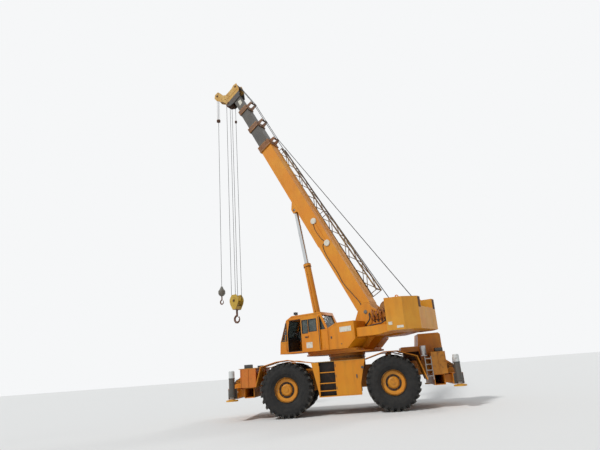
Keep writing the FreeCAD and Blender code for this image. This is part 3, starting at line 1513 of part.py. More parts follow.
def jib():
    """The lattice jib stowed along the boom's right side: four chords, frames and zigzag lacing."""
    bays = int(value("jib_bays"))
    chord = value("chord_radius")
    lace = value("lace_radius")

    def corner(station, high, outer):
        share = station / bays
        tall = value("jib_tall") + (value("jib_tip_tall") - value("jib_tall")) * share
        deep = value("jib_deep") + (value("jib_tip_deep") - value("jib_deep")) * share
        x = value("jib_from") + (value("jib_to") - value("jib_from")) * share
        y = -value("jib_inner") - (deep if outer else 0)
        z = value("jib_low") + (tall if high else 0)
        return FreeCAD.Vector(x, y, z)

    corners = ((0, 0), (1, 0), (1, 1), (0, 1))
    bars = [bar(corner(0, *pair), corner(bays, *pair), chord) for pair in corners]
    for station in range(bays + 1):
        for pair, following in zip(corners, corners[1:] + corners[:1]):
            if station in (0, bays // 2, bays):
                bars.append(bar(corner(station, *pair), corner(station, *following), lace))
            if station < bays:
                first, second = (pair, following) if station % 2 == 0 else (following, pair)
                bars.append(bar(corner(station, *first), corner(station + 1, *second), lace))
    lattice = bars[0].fuse(bars[1:])
    item = doc.addObject("Part::Feature", "jib_lattice")
    item.Shape = lattice
    node("jib", [item], BOOM)


def lift_cylinder():
    """Barrel on its foot pin, piston, and chrome rod whose eye sits between the boom's ears."""
    node("lift_pin", [rod("lift_pin_bar", "y", "lift_pin", "-cheek_inner - cheek_plate - 15", "cheek_inner + cheek_plate + 15", (0, 0))], LIFT)
    tube = rod("lift_tube", "x", "barrel_radius", "barrel_foot - 60", "barrel_long", (0, 0))
    gland = rod("lift_gland", "x", "gland_radius", "barrel_long - gland_long", "barrel_long", (0, 0))
    foot = rod("lift_foot", "y", "barrel_foot * 0.75", "-cheek_inner + 60", "cheek_inner - 60", (0, 0))
    bore = rod("lift_bore", "x", "barrel_bore", "bore_start", "barrel_long - gland_long", (0, 0))
    mouth = rod("lift_mouth", "x", "lift_rod + fit", "barrel_long - gland_long - 1", "barrel_long + 1", (0, 0))
    hole = rod("lift_foot_hole", "y", "lift_pin + fit", "-cheek_inner", "cheek_inner", (0, 0))
    voids = fuse("lift_voids", [bore, mouth, hole])
    node("lift_barrel", [cut("lift_barrel_bored", fuse("lift_barrel_solid", [tube, gland, foot]), voids)], LIFT)
    head = "piston_at + piston_long"
    node("lift_piston", [rod("lift_piston_disc", "x", "barrel_bore - fit", "piston_at", head, (0, 0))], LIFT)
    shaft = rod("lift_rod_bar", "x", "lift_rod", f"{head} + fit", f"{LIFT_LONG} - 0.6 * eye_radius", (0, 0))
    eye = rod("lift_eye", "y", "eye_radius", "-eye_half", "eye_half", (LIFT_LONG, 0))
    hole = rod("lift_eye_hole", "y", "eye_bore", "-eye_half - 1", "eye_half + 1", (LIFT_LONG, 0))
    node("lift_rod", [cut("lift_rod_bored", fuse("lift_rod_solid", [shaft, eye]), hole)], LIFT)


def hook_shape(name, x, y, top, bar_radius, throat):
    """A forged hook: shank, round bowl and rising tip, swept round its throat."""
    centre = FreeCAD.Vector(x, y, top - value("hook_drop") * throat)
    path = []
    reach = throat + bar_radius
    for degrees in (100, 60, 20, -20, -60, -100, -140, -180, -215):
        turn = math.radians(degrees)
        path.append(centre + FreeCAD.Vector(reach * math.cos(turn), 0, reach * math.sin(turn)))
    path[0] = FreeCAD.Vector(x, y, centre.z + reach)
    start = FreeCAD.Vector(x, y, top)
    points = [start, *path]
    solids = []
    for number, (here, there) in enumerate(zip(points, points[1:])):
        thin = bar_radius * (1.0 if number < 6 else 1.0 - 0.18 * (number - 5))
        solids.append(bar(here, there, thin))
        solids.append(Part.makeSphere(thin, there))
    item = doc.addObject("Part::Feature", name)
    item.Shape = solids[0].fuse(solids[1:]).removeSplitter()
    return item


def hoist():
    """Four falls with the main block and its hook, the whip line with its weight, and the two switch weights."""
    main_x = "pivot_x + sheave_along * cos(boom_angle) + sheave_below * sin(boom_angle)"
    main_z = "pivot_z + sheave_along * sin(boom_angle) - sheave_below * cos(boom_angle)"
    whip_x = "pivot_x + whip_along * cos(boom_angle) + whip_below * sin(boom_angle)"
    whip_z = "pivot_z + whip_along * sin(boom_angle) - whip_below * cos(boom_angle)"
    reach = "(sheave_radius - sheave_groove + rope_radius + fit)"
    falls = []
    for number, (front, hand) in enumerate(((1, 1.5), (1, -1.5), (-1, 1.5), (-1, -1.5))):
        at = (f"{main_x} + {front} * {reach}", f"{hand} * sheave_pitch")
        falls.append(rod(f"fall_{number}", "z", "rope_radius", "block_sheave_z", main_z, at))
    node("main_falls", falls, UPPER)
    plate = [
        (f"{main_x} - block_deep", "block_sheave_z + 120"),
        (f"{main_x} - 0.6 * block_deep", "block_sheave_z + 0.5 * block_tall"),
        (f"{main_x} + 0.6 * block_deep", "block_sheave_z + 0.5 * block_tall"),
        (f"{main_x} + block_deep", "block_sheave_z + 120"),
        (f"{main_x} + block_deep", "block_sheave_z - 160"),
        (f"{main_x} + 0.35 * block_deep", "block_sheave_z - 0.75 * block_tall"),
        (f"{main_x} - 0.35 * block_deep", "block_sheave_z - 0.75 * block_tall"),
        (f"{main_x} - block_deep", "block_sheave_z - 160"),
    ]
    inside = [
        (f"{main_x} - block_round - 10", "block_sheave_z - 0.5 * block_tall"),
        (f"{main_x} + block_round + 10", "block_sheave_z - 0.5 * block_tall"),
        (f"{main_x} + block_round + 10", "block_sheave_z + block_tall"),
        (f"{main_x} - block_round - 10", "block_sheave_z + block_tall"),
    ]
    discs = rod("block_discs", "y", "block_round", "-block_half", "block_half", (main_x, "block_sheave_z"))
    cheeks = fuse("block_cheeks", [slab("block_sides", [plate], ("-block_half", "block_half")), discs])
    gap = slab("block_gap", [inside], ("-block_half + block_plate", "block_half - block_plate"))
    block = [cut("block_body", cheeks, gap)]
    block.append(rod("block_pin", "y", "sheave_pin", "-block_half - 20", "block_half + 20", (main_x, "block_sheave_z")))
    for number, hand in enumerate((-1.5, 1.5)):
        y = f"{hand} * sheave_pitch"
        block.append(sheave(f"block_sheave_{number}", main_x, "block_sheave_z", "sheave_radius", y))
    shank = value("block_sheave_z - 0.7 * block_tall")
    hook = hook_shape("main_hook", value(main_x), 0, shank, value("hook_bar"), value("hook_throat"))
    node("main_block", [fuse("main_block_fused", [*block, hook])], UPPER)
    line_x = f"{whip_x} + whip_radius - sheave_groove + rope_radius + fit"
    neck = "ball_z + 1.7 * ball_radius"
    node("whip_line", [rod("whip_rope", "z", "rope_radius", f"{neck} + fit", whip_z, (line_x, 0))], UPPER)
    ball = turned(
        "whip_ball",
        [
            (0, "ball_z - 1.1 * ball_radius"),
            ("0.55 * ball_radius", "ball_z - ball_radius"),
            ("ball_radius", "ball_z - 0.4 * ball_radius"),
            ("ball_radius", "ball_z + 0.4 * ball_radius"),
            ("0.55 * ball_radius", "ball_z + ball_radius"),
            ("0.25 * ball_radius", neck),
            (0, neck),
        ],
        "z",
    )
    move(ball, line_x, 0, 0)
    low = value("ball_z - ball_radius")
    small = hook_shape("whip_hook", value(line_x), 0, low, 0.65 * value("hook_bar"), 0.65 * value("hook_throat"))
    node("whip_weight", [fuse("whip_weight_fused", [ball, small])], UPPER)
    rings = []
    for name, at, top, drop, radius in (
        ("main", (f"{main_x} - {reach}", "-1.5 * sheave_pitch"), main_z, "switch_drop", "switch_radius"),
        ("whip", (line_x, 0), whip_z, "1.27 * switch_drop", "1.7 * switch_radius"),
    ):
        low = f"{top} - {drop}"
        outer = rod(f"switch_{name}_outer", "z", radius, low, f"{low} + switch_tall", at)
        bore = rod(f"switch_{name}_bore", "z", "rope_radius + fit", f"{low} - 1", f"{low} + switch_tall + 1", at)
        rings.append(cut(f"switch_{name}", outer, bore))
    node("rope_switches", rings, UPPER)


frame()
slewing_ring()
deck()
side_tanks()
fenders()
steps()
outrigger_boxes()
lockers()
hood()
exhaust()
lamps()
axles()
knuckles()
wheels()
outriggers()
turntable()
counterweight()
winches()
cab_fittings(cab())
side_boxes()
last_tall, last_wide = boom()
boom_head(last_tall, last_wide)
jib()
lift_cylinder()
hoist()
doc.recompute()

faults = [f"{item.Name}: {item.State}" for item in doc.Objects if {"Invalid", "Error"} & set(item.State)]
for name, item in NODES.items():
    if item.Shape.isNull() or not item.Shape.isValid() or not item.Shape.Solids:
        faults.append(f"{name}: bad shape")
if faults:
    raise RuntimeError("; ".join(faults))
os.makedirs("parts", exist_ok=True)
for name, item in NODES.items():
    item.Shape.exportStep(os.path.join("parts", name + ".step"))
print(len(NODES), "pieces written")
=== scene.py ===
"""Looks of a rough-terrain mobile crane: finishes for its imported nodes, and the detail pieces around them.

Metres throughout. +X is the carrier's front, +Y its left side, Z = 0 the ground.
"""

from __future__ import annotations

import logging
import math
from dataclasses import dataclass, field
from enum import Enum
from typing import Any, Iterable, Sequence

import bmesh
import bpy
from mathutils import Matrix, Vector


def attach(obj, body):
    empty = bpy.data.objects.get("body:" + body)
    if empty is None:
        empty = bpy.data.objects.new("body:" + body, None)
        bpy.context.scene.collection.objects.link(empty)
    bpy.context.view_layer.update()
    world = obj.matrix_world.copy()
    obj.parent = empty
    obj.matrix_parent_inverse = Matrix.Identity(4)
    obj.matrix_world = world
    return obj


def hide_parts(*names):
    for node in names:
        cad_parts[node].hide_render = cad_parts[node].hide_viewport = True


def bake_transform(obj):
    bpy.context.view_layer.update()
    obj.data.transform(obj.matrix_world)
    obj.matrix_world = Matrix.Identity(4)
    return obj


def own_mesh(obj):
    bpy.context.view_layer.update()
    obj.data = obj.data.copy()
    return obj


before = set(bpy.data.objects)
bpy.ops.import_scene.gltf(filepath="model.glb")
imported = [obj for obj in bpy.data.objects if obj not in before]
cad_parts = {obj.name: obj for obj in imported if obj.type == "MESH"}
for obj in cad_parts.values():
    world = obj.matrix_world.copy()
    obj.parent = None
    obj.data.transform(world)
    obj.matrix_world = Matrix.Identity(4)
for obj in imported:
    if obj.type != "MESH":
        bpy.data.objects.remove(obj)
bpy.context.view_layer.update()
LOG = logging.getLogger("crane")
Point = tuple[float, float, float]
Outline = Sequence[tuple[float, float]]


class Place(Enum):
    """Where a piece's own coordinates are counted from.

    All but CARRIER turn with the upper works. BOOM and LIFT also lie along the boom and the lift cylinder.
    """

    CARRIER = "carrier"
    UPPER = "upper"
    BOOM = "boom"
    LIFT = "lift"

    def matrix(self) -> Matrix:
        """The rest placement of these coordinates in the frame."""
        upper = Matrix.Translation((-0.32, 0, 0)) @ Matrix.Rotation(math.radians(-28), 4, "Z")
        if self is Place.CARRIER:
            return Matrix.Identity(4)
        if self is Place.UPPER:
            return upper
        if self is Place.BOOM:
            return upper @ Matrix.Translation((-1.2, 0, 3.47)) @ Matrix.Rotation(
                math.radians(-62.5), 4, "Y"
            )
        return upper @ Matrix.Translation((1.03, 0, 2.45)) @ Matrix.Rotation(math.radians(-81.662), 4, "Y")


def paint(code: str) -> tuple[float, float, float, float]:
    """An sRGB hex colour turned to linear.

    Args:
        code: six hex digits after a hash.

    Returns:
        Red, green, blue and an alpha of one.
    """
    parts = [int(code[i : i + 2], 16) / 255 for i in (1, 3, 5)]
    red, green, blue = (c / 12.92 if c <= 0.04045 else ((c + 0.055) / 1.055) ** 2.4 for c in parts)
    return (red, green, blue, 1.0)


def add(
    tree: bpy.types.NodeTree, kind: str, inputs: dict[Any, Any] | None = None, **settings: Any
) -> bpy.types.Node:
    """Add one shader node with its settings, values and links.

    Args:
        tree: the material's or world's node tree.
        kind: the node's type name without its ShaderNode prefix.
        inputs: each input's name or number, and its value or the socket that feeds it.
        settings: attributes of the node itself.

    Returns:
        The new node.
    """
    node = tree.nodes.new("ShaderNode" + kind)
    for key, setting in settings.items():
        setattr(node, key, setting)
    for key, given in (inputs or {}).items():
        if isinstance(given, bpy.types.NodeSocket):
            tree.links.new(given, node.inputs[key])
        else:
            node.inputs[key].default_value = given
    return node


def mixed(tree: bpy.types.NodeTree, share: Any, first: Any, second: Any) -> bpy.types.NodeSocket:
    """Mix two colours.

    Args:
        tree: the node tree.
        share: how much of the second, a number or a socket.
        first: the first colour.
        second: the second colour.

    Returns:
        The mixed colour's socket.
    """
    node = add(tree, "Mix", {0: share, 6: first, 7: second}, data_type="RGBA")
    return node.outputs[2]


def spots(
    tree: bpy.types.NodeTree, where: bpy.types.NodeSocket, scale: float, low: float, high: float,
    detail: float = 6.0,
) -> bpy.types.NodeSocket:
    """Noise with its middle stretched, for patches with soft or hard edges.

    Args:
        tree: the node tree.
        where: the coordinates in metres.
        scale: patches a metre.
        low: the noise value that becomes zero.
        high: the noise value that becomes one.
        detail: octaves of finer noise.

    Returns:
        A socket from zero to one.
    """
    noise = add(tree, "TexNoise", {"Vector": where, "Scale": scale, "Detail": detail, "Roughness": 0.62})
    span = add(tree, "MapRange", {0: noise.outputs[0], 1: low, 2: high, 3: 0.0, 4: 1.0})
    return span.outputs[0]


@dataclass(frozen=True)
class Finish:
    """A finish, kept once it is made; each kind below says what the real one is."""

    label: str
    slot: str

    def made(self) -> bpy.types.Material:
        """The material, built the first time it is asked for."""
        known = bpy.data.materials.get(self.label)
        if known is not None and "crane_finish" in known:
            return known
        material = bpy.data.materials.new(self.label)
        material["crane_finish"] = True
        material.use_nodes = True
        tree = material.node_tree
        tree.nodes.clear()
        shader = add(tree, "BsdfPrincipled")
        add(tree, "OutputMaterial", {"Surface": shader.outputs[0]})
        where = add(tree, "TexCoord").outputs["Object"]
        self.draw(tree, shader, where)
        return material

    def draw(self, tree: bpy.types.NodeTree, shader: bpy.types.Node, where: bpy.types.NodeSocket) -> None:
        """Wire the finish's own look into the shader."""

    def bump(
        self, tree: bpy.types.NodeTree, shader: bpy.types.Node, height: bpy.types.NodeSocket, deep: float
    ) -> None:
        """Raise or sink the surface by a height socket.

        Args:
            tree: the node tree.
            shader: the surface shader.
            height: the height from zero to one.
            deep: what one stands for, in metres.
        """
        node = add(tree, "Bump", {"Height": height, "Distance": deep, "Strength": 1.0})
        tree.links.new(node.outputs[0], shader.inputs["Normal"])


@dataclass(frozen=True)
class SprayedEnamel(Finish):
    """Air-dried alkyd enamel on steel: semi-gloss, chalked by the sun, streaked by rain, chipped to rust."""

    base: str = "#CB7900"
    chalked: str = "#CE8606"
    grime: str = "#5A3D14"
    chip: str = "#5B3018"
    chips: float = 0.70
    streaks: float = 0.35
    gloss: float = 0.42
    wave: float = 0.0016

    def draw(self, tree: bpy.types.NodeTree, shader: bpy.types.Node, where: bpy.types.NodeSocket) -> None:
        """Sun-chalked patches about 1 m across, broad rain streaks, and rust chips of 20 to 60 mm."""
        patches = spots(tree, where, 0.9, 0.38, 0.68)
        colour = mixed(tree, patches, paint(self.base), paint(self.chalked))
        falling = add(tree, "Mapping", {"Vector": where, "Scale": (3.2, 3.2, 0.5)})
        runs = spots(tree, falling.outputs[0], 1.6, 0.46, 0.86, 3.0)
        share = add(tree, "Math", {0: runs, 1: self.streaks}, operation="MULTIPLY")
        colour = mixed(tree, share.outputs[0], colour, paint(self.grime))
        dust = spots(tree, where, 3.5, 0.50, 0.85)
        haze = add(tree, "Math", {0: dust, 1: 0.06}, operation="MULTIPLY")
        colour = mixed(tree, haze.outputs[0], colour, paint("#B8924E"))
        rust = spots(tree, where, 14.0, self.chips, self.chips + 0.05, 8.0)
        colour = mixed(tree, rust, colour, paint(self.chip))
        tree.links.new(colour, shader.inputs["Base Color"])
        rough = add(tree, "MapRange", {0: dust, 1: 0.0, 2: 1.0, 3: self.gloss, 4: self.gloss + 0.22})
        worn = add(tree, "Math", {0: rough.outputs[0], 1: rust}, operation="MAXIMUM")
        tree.links.new(worn.outputs[0], shader.inputs["Roughness"])
        shader.inputs["IOR"].default_value = 1.5
        # Hand-sprayed paint on rolled plate waves a little every 150 mm, and a chip is sunk by its film
        rolled = spots(tree, where, 6.5, 0.2, 0.8, 2.0)
        height = add(tree, "Math", {0: rolled, 1: rust}, operation="SUBTRACT")
        self.bump(tree, shader, height.outputs[0], self.wave)


@dataclass(frozen=True)
class ScuffedDarkEnamel(SprayedEnamel):
    """Dark grey enamel on sliding sections: rubbed by the pads along the boom, with rust at its edges."""

    base: str = "#3A3C3D"
    chalked: str = "#55534E"
    grime: str = "#241E19"
    chip: str = "#5A3724"
    chips: float = 0.60
    streaks: float = 0.5
    gloss: float = 0.5


@dataclass(frozen=True)
class Zone:
    """Where a second colour begins on one weldment: beyond a plane across one axis, or across a direction."""

    other: str
    edge: float
    axis: int = 2
    above: bool = True
    mirrored: bool = False
    soft: float = 0.01
    ahead: Point | None = None


def along_boom(other: str, station: float, above: bool = True) -> Zone:
    """A zone that begins at a station along the boom.

    Args:
        other: the zone's colour.
        station: metres from the boom's foot.
        above: whether it lies towards the head.

    Returns:
        The zone.
    """
    matrix = Place.BOOM.matrix()
    ahead = matrix.to_3x3() @ Vector((1, 0, 0))
    edge = (matrix @ Vector((station, 0, 0))).dot(ahead)
    return Zone(other, edge, above=above, ahead=tuple(ahead))


@dataclass(frozen=True)
class ZonedEnamel(SprayedEnamel):
    """The same enamel with further colours where other parts of the same casting or weldment begin."""

    zones: tuple[Zone, ...] = ()

    def draw(self, tree: bpy.types.NodeTree, shader: bpy.types.Node, where: bpy.types.NodeSocket) -> None:
        """Draw the enamel, then lay each zone's colour over it."""
        super().draw(tree, shader, where)
        colour = shader.inputs["Base Color"].links[0].from_socket
        blotch = spots(tree, where, 9.0, 0.52, 0.82)
        for zone in self.zones:
            if zone.ahead:
                far = add(
                    tree, "VectorMath", {0: where, 1: zone.ahead}, operation="DOT_PRODUCT"
                ).outputs["Value"]
            else:
                far = add(tree, "SeparateXYZ", {0: where}).outputs[zone.axis]
            if zone.mirrored:
                far = add(tree, "Math", {0: far}, operation="ABSOLUTE").outputs[0]
            low, high = (0.0, 1.0) if zone.above else (1.0, 0.0)
            span = {0: far, 1: zone.edge - zone.soft, 2: zone.edge + zone.soft, 3: low, 4: high}
            beyond = add(tree, "MapRange", span)
            second = mixed(tree, blotch, paint(zone.other), paint(self.chip))
            colour = mixed(tree, beyond.outputs[0], colour, second)
        tree.links.new(colour, shader.inputs["Base Color"])


@dataclass(frozen=True)
class RimEnamel(SprayedEnamel):
    """Wheel enamel with painted shade in the ring groove round the hub and against the tyre's bead."""

    centre: Point = (0.0, 0.0, 0.0)
    base: str = "#D0850E"
    chalked: str = "#D69324"

    def draw(self, tree: bpy.types.NodeTree, shader: bpy.types.Node, where: bpy.types.NodeSocket) -> None:
        """Draw the enamel, then rings of painted shade by distance from the wheel's centre."""
        super().draw(tree, shader, where)
        under = shader.inputs["Base Color"].links[0].from_socket
        spoke = add(tree, "VectorMath", {0: where, 1: self.centre}, operation="SUBTRACT")
        flat = add(tree, "VectorMath", {0: spoke.outputs[0], 1: (1.0, 0.0, 1.0)}, operation="MULTIPLY")
        far = add(tree, "VectorMath", {0: flat.outputs[0]}, operation="LENGTH").outputs["Value"]
        ramp = add(tree, "ValToRGB", {0: far})
        # Painted shade by radius: darkest from 0.208 to 0.270 m in the hub groove, and rising again towards
        # the tyre's bead at 0.392 m.
        stops = (
            (0.0, 0.25), (0.197, 0.15), (0.208, 1.0), (0.270, 1.0), (0.280, 0.08), (0.372, 0.15),
            (0.392, 0.8),
        )
        ramp.color_ramp.elements[0].position = stops[0][0]
        ramp.color_ramp.elements[0].color = (stops[0][1],) * 3 + (1,)
        ramp.color_ramp.elements[1].position = stops[-1][0]
        ramp.color_ramp.elements[1].color = (stops[-1][1],) * 3 + (1,)
        for position, level in stops[1:-1]:
            stop = ramp.color_ramp.elements.new(position)
            stop.color = (level, level, level, 1)
        patch = spots(tree, where, 12.0, 0.22, 0.50)
        share = add(tree, "Math", {0: ramp.outputs[0], 1: patch}, operation="MULTIPLY")
        # The near-black mixed in here is painted shade, broken by patches.
        tree.links.new(mixed(tree, share.outputs[0], under, paint("#22170E")), shader.inputs["Base Color"])


@dataclass(frozen=True)
class DustyRubberWithPaintedHighlight(Finish):
    """Cured tyre rubber: black, matt, with grey road dust in patches, a painted highlight on the lugs' outer
    band, and moulded rings on the sidewall.
    """

    centre: Point = (0.0, 0.0, 0.0)

    def draw(self, tree: bpy.types.NodeTree, shader: bpy.types.Node, where: bpy.types.NodeSocket) -> None:
        """Dust patches, a painted highlight on the outer tread band, and sidewall rings every 28 mm."""
        dust = spots(tree, where, 7.0, 0.35, 0.72)
        colour = mixed(tree, dust, paint("#131313"), paint("#2A2825"))
        spoke = add(tree, "VectorMath", {0: where, 1: self.centre}, operation="SUBTRACT")
        flat = add(tree, "VectorMath", {0: spoke.outputs[0], 1: (1.0, 0.0, 1.0)}, operation="MULTIPLY")
        far = add(tree, "VectorMath", {0: flat.outputs[0]}, operation="LENGTH").outputs["Value"]
        # Painted highlight: the band from 0.885 to 0.932 m out, where the lugs stand, is mixed towards a pale
        # grey so that they read as lit.
        tread = add(tree, "MapRange", {0: far, 1: 0.885, 2: 0.932, 3: 0.0, 4: 0.85})
        colour = mixed(tree, tread.outputs[0], colour, paint("#565148"))
        tree.links.new(colour, shader.inputs["Base Color"])
        shader.inputs["Roughness"].default_value = 0.88
        shader.inputs["IOR"].default_value = 1.52
        turns = add(tree, "Math", {0: far, 1: 224.0}, operation="MULTIPLY")
        rings = add(tree, "Math", {0: turns.outputs[0]}, operation="SINE")
        wall = add(tree, "MapRange", {0: far, 1: 0.66, 2: 0.70, 3: 1.0, 4: 0.0})
        moulded = add(tree, "Math", {0: rings.outputs[0], 1: wall.outputs[0]}, operation="MULTIPLY")
        grain = spots(tree, where, 55.0, 0.3, 0.7, 3.0)
        height = add(tree, "Math", {0: moulded.outputs[0], 1: grain}, operation="ADD")
        self.bump(tree, shader, height.outputs[0], 0.0022)


@dataclass(frozen=True)
class TurnedMetal(Finish):
    """Bare metal turned, ground or plated: chrome on the rod, greased steel on pins and sheaves."""

    colour: str = "#C9CCCD"
    stained: str = "#8D8A84"
    smooth: float = 0.14
    rough: float = 0.30
    patchy: float = 0.55

    def draw(self, tree: bpy.types.NodeTree, shader: bpy.types.Node, where: bpy.types.NodeSocket) -> None:
        """Oil film in patches of 200 mm, with fine grinding marks every 8 mm."""
        film = spots(tree, where, 4.5, self.patchy, self.patchy + 0.25)
        tree.links.new(
            mixed(tree, film, paint(self.colour), paint(self.stained)), shader.inputs["Base Color"]
        )
        shader.inputs["Metallic"].default_value = 1.0
        rough = add(tree, "MapRange", {0: film, 1: 0.0, 2: 1.0, 3: self.smooth, 4: self.rough})
        tree.links.new(rough.outputs[0], shader.inputs["Roughness"])
        marks = spots(tree, where, 120.0, 0.3, 0.7, 2.0)
        self.bump(tree, shader, marks, 0.0002)


@dataclass(frozen=True)
class RustedForging(Finish):
    """Forged or cast steel left bare: brown rust over dark scale, dry and rough."""

    rust: str = "#6B4026"
    scale: str = "#332A24"

    def draw(self, tree: bpy.types.NodeTree, shader: bpy.types.Node, where: bpy.types.NodeSocket) -> None:
        """Rust in patches of 60 mm over dark scale, with a coarse cast grain."""
        patch = spots(tree, where, 16.0, 0.38, 0.62)
        tree.links.new(mixed(tree, patch, paint(self.scale), paint(self.rust)), shader.inputs["Base Color"])
        shader.inputs["Roughness"].default_value = 0.78
        shader.inputs["Metallic"].default_value = 0.25
        self.bump(tree, shader, spots(tree, where, 70.0, 0.25, 0.75, 4.0), 0.0012)


@dataclass(frozen=True)
class StrandedWire(Finish):
    """Steel wire rope under grease: near black, its strands lying at a slant, one turn every 150 mm."""

    colour: str = "#232323"

    def draw(self, tree: bpy.types.NodeTree, shader: bpy.types.Node, where: bpy.types.NodeSocket) -> None:
        """Bands that repeat six times a turn, drawn 50 mm apart so that they show."""
        bands = add(
            tree, "TexWave", {"Vector": where, "Scale": 6.3, "Distortion": 0.0}, bands_direction="DIAGONAL"
        )
        tree.links.new(
            mixed(tree, bands.outputs[1], paint("#0E0E0E"), paint(self.colour)), shader.inputs["Base Color"]
        )
        shader.inputs["Roughness"].default_value = 0.6
        self.bump(tree, shader, bands.outputs[1], 0.003)


@dataclass(frozen=True)
class TintedPane(Finish):
    """Float glass with a grey-green tint: clear enough to show the seat, dusty at its edges."""

    tint: str = "#46524F"

    def draw(self, tree: bpy.types.NodeTree, shader: bpy.types.Node, where: bpy.types.NodeSocket) -> None:
        """A thin film of dust breaks the gloss in patches of 150 mm."""
        film = spots(tree, where, 6.0, 0.42, 0.75)
        tree.links.new(mixed(tree, film, paint(self.tint), paint("#6E746F")), shader.inputs["Base Color"])
        shader.inputs["IOR"].default_value = 1.5
        shader.inputs["Transmission Weight"].default_value = 0.4
        rough = add(tree, "MapRange", {0: film, 1: 0.0, 2: 1.0, 3: 0.02, 4: 0.12})
        tree.links.new(rough.outputs[0], shader.inputs["Roughness"])


@dataclass(frozen=True)
class MouldedPlastic(Finish):
    """Moulded or extruded black stock: hoses, gaskets, grips and housings, with a fine matt grain."""

    colour: str = "#1C1C1D"
    pale: str = "#333230"
    rough: float = 0.55

    def draw(self, tree: bpy.types.NodeTree, shader: bpy.types.Node, where: bpy.types.NodeSocket) -> None:
        """Dust in patches of 100 mm over the moulded grain."""
        dust = spots(tree, where, 10.0, 0.45, 0.8)
        tree.links.new(mixed(tree, dust, paint(self.colour), paint(self.pale)), shader.inputs["Base Color"])
        shader.inputs["Roughness"].default_value = self.rough
        shader.inputs["IOR"].default_value = 1.5
        self.bump(tree, shader, spots(tree, where, 160.0, 0.3, 0.7, 2.0), 0.0004)


@dataclass(frozen=True)
class PressedLens(Finish):
    """Acrylic lamp lens with pressed prisms: clear, amber or red, glossy over a bright reflector."""

    colour: str = "#B8401E"

    def draw(self, tree: bpy.types.NodeTree, shader: bpy.types.Node, where: bpy.types.NodeSocket) -> None:
        """Prism ribs every 18 mm across the lens."""
        ribs = add(tree, "TexWave", {"Vector": where, "Scale": 17.5}, bands_direction="Y")
        tree.links.new(
            mixed(tree, ribs.outputs[1], paint(self.colour), paint("#E8D9C0")), shader.inputs["Base Color"]
        )
        shader.inputs["Roughness"].default_value = 0.12
        shader.inputs["Coat Weight"].default_value = 0.6
        self.bump(tree, shader, ribs.outputs[1], 0.002)


YELLOW = SprayedEnamel("chrome_yellow_enamel", "yellow_paint")
GRIMY = SprayedEnamel(
    "grimy_yellow_enamel", "yellow_paint", base="#A9731A", chalked="#8A6228", chips=0.56, streaks=0.6
)
# Winch enamel darker and browner than the rest: partly wear, partly painted shade of the well the winches sit
# in under the boom.
WORN_AND_SHADED = SprayedEnamel(
    "worn_and_shaded_winch_enamel", "yellow_paint", base="#A06A1A", chalked="#8A5A26", chips=0.54, streaks=0.6
)
SUNNED = SprayedEnamel(
    "sun_bleached_enamel", "yellow_paint", base="#C8800E", chalked="#CE9226", streaks=0.28, chips=0.68
)
BOOM_YELLOW = ZonedEnamel(
    "boom_enamel",
    "yellow_paint",
    base="#CB7C04",
    chalked="#D08C16",
    streaks=0.18,
    chips=0.72,
    gloss=0.6,
    wave=0.0008,
    zones=(along_boom("#7A4A20", 9.55),),
)
DECK_YELLOW = SprayedEnamel(
    "trodden_deck_enamel", "yellow_paint", base="#A87A24", chalked="#8E7448", streaks=0.3, chips=0.58
)
LOCKERS = ZonedEnamel(
    "faded_orange_enamel",
    "orange_paint",
    base="#BF6212",
    chalked="#C87A24",
    streaks=0.4,
    chips=0.64,
    zones=(Zone("#C07C1C", 0.0, axis=0, above=False),),
)
STEPS = ZonedEnamel(
    "step_and_ladder_enamel_with_painted_shade",
    "yellow_paint",
    zones=(
        # Painted shade: near-black inside |y| < 1.262, on the step bay's back plate and the treads' inner
        # ends.
        Zone("#2A1F14", 1.262, axis=1, above=False, mirrored=True),
        Zone("#A9A8A2", -2.0, axis=0, above=False),
    ),
)
DARK = ScuffedDarkEnamel("worn_chassis_enamel", "dark_paint")
LATTICE = ScuffedDarkEnamel(
    "rusted_lattice_enamel", "dark_paint", base="#5C4326", chalked="#8A6A34", chip="#4A2C1A", chips=0.52
)
COLLAR = SprayedEnamel(
    "rusted_collar_enamel", "yellow_paint", base="#7A4E22", chalked="#9A6A2C", chip="#4A2A18", chips=0.52,
    streaks=0.7,
)
OXIDE = SprayedEnamel(
    "oxide_pipe_enamel", "yellow_paint", base="#8A4716", chalked="#9E5A20", chips=0.56, streaks=0.5
)
HEAD = ZonedEnamel(
    "boom_head_enamel",
    "yellow_paint",
    base="#B98A34",
    chalked="#CFAE68",
    chips=0.58,
    streaks=0.55,
    zones=(along_boom("#3C3A37", 13.98, above=False),),
)
CHROME = TurnedMetal("hard_chromed_steel", "chrome")
GREASED = TurnedMetal(
    "greased_bright_steel", "machined_steel", colour="#7E7A74", stained="#4A433B", smooth=0.34, rough=0.6,
    patchy=0.4,
)
RUSTED = RustedForging("rusted_forged_steel", "cast_iron")
ROPE = StrandedWire("greased_wire_rope", "wire_rope")
PANE = TintedPane("tinted_float_glass", "tinted_glass")
BLACK = MouldedPlastic("black_moulded_rubber", "black_vinyl")
VINYL = MouldedPlastic("black_seat_vinyl", "black_vinyl", colour="#232324", pale="#3C3A37", rough=0.42)
LABEL = MouldedPlastic("blank_vinyl_label", "lamp_lens", colour="#CFCBBE", pale="#A8A08C", rough=0.5)
SILVER = TurnedMetal(
    "aluminium_paint", "dark_paint", colour="#B9BABA", stained="#85827B", smooth=0.42, rough=0.6
)
AMBER = PressedLens("amber_pressed_lens", "lamp_lens", colour="#C8701A")
RED = PressedLens("red_pressed_lens", "lamp_lens", colour="#9E1E16")
CLEAR = PressedLens("clear_pressed_lens", "lamp_lens", colour="#C9CCCC")


def dress(finish: Finish, *names: str) -> None:
    """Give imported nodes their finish.

    Args:
        finish: the finish.
        names: the nodes.
    """
    for name in names:
        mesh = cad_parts[name].data
        mesh.materials.clear()
        mesh.materials.append(finish.made())


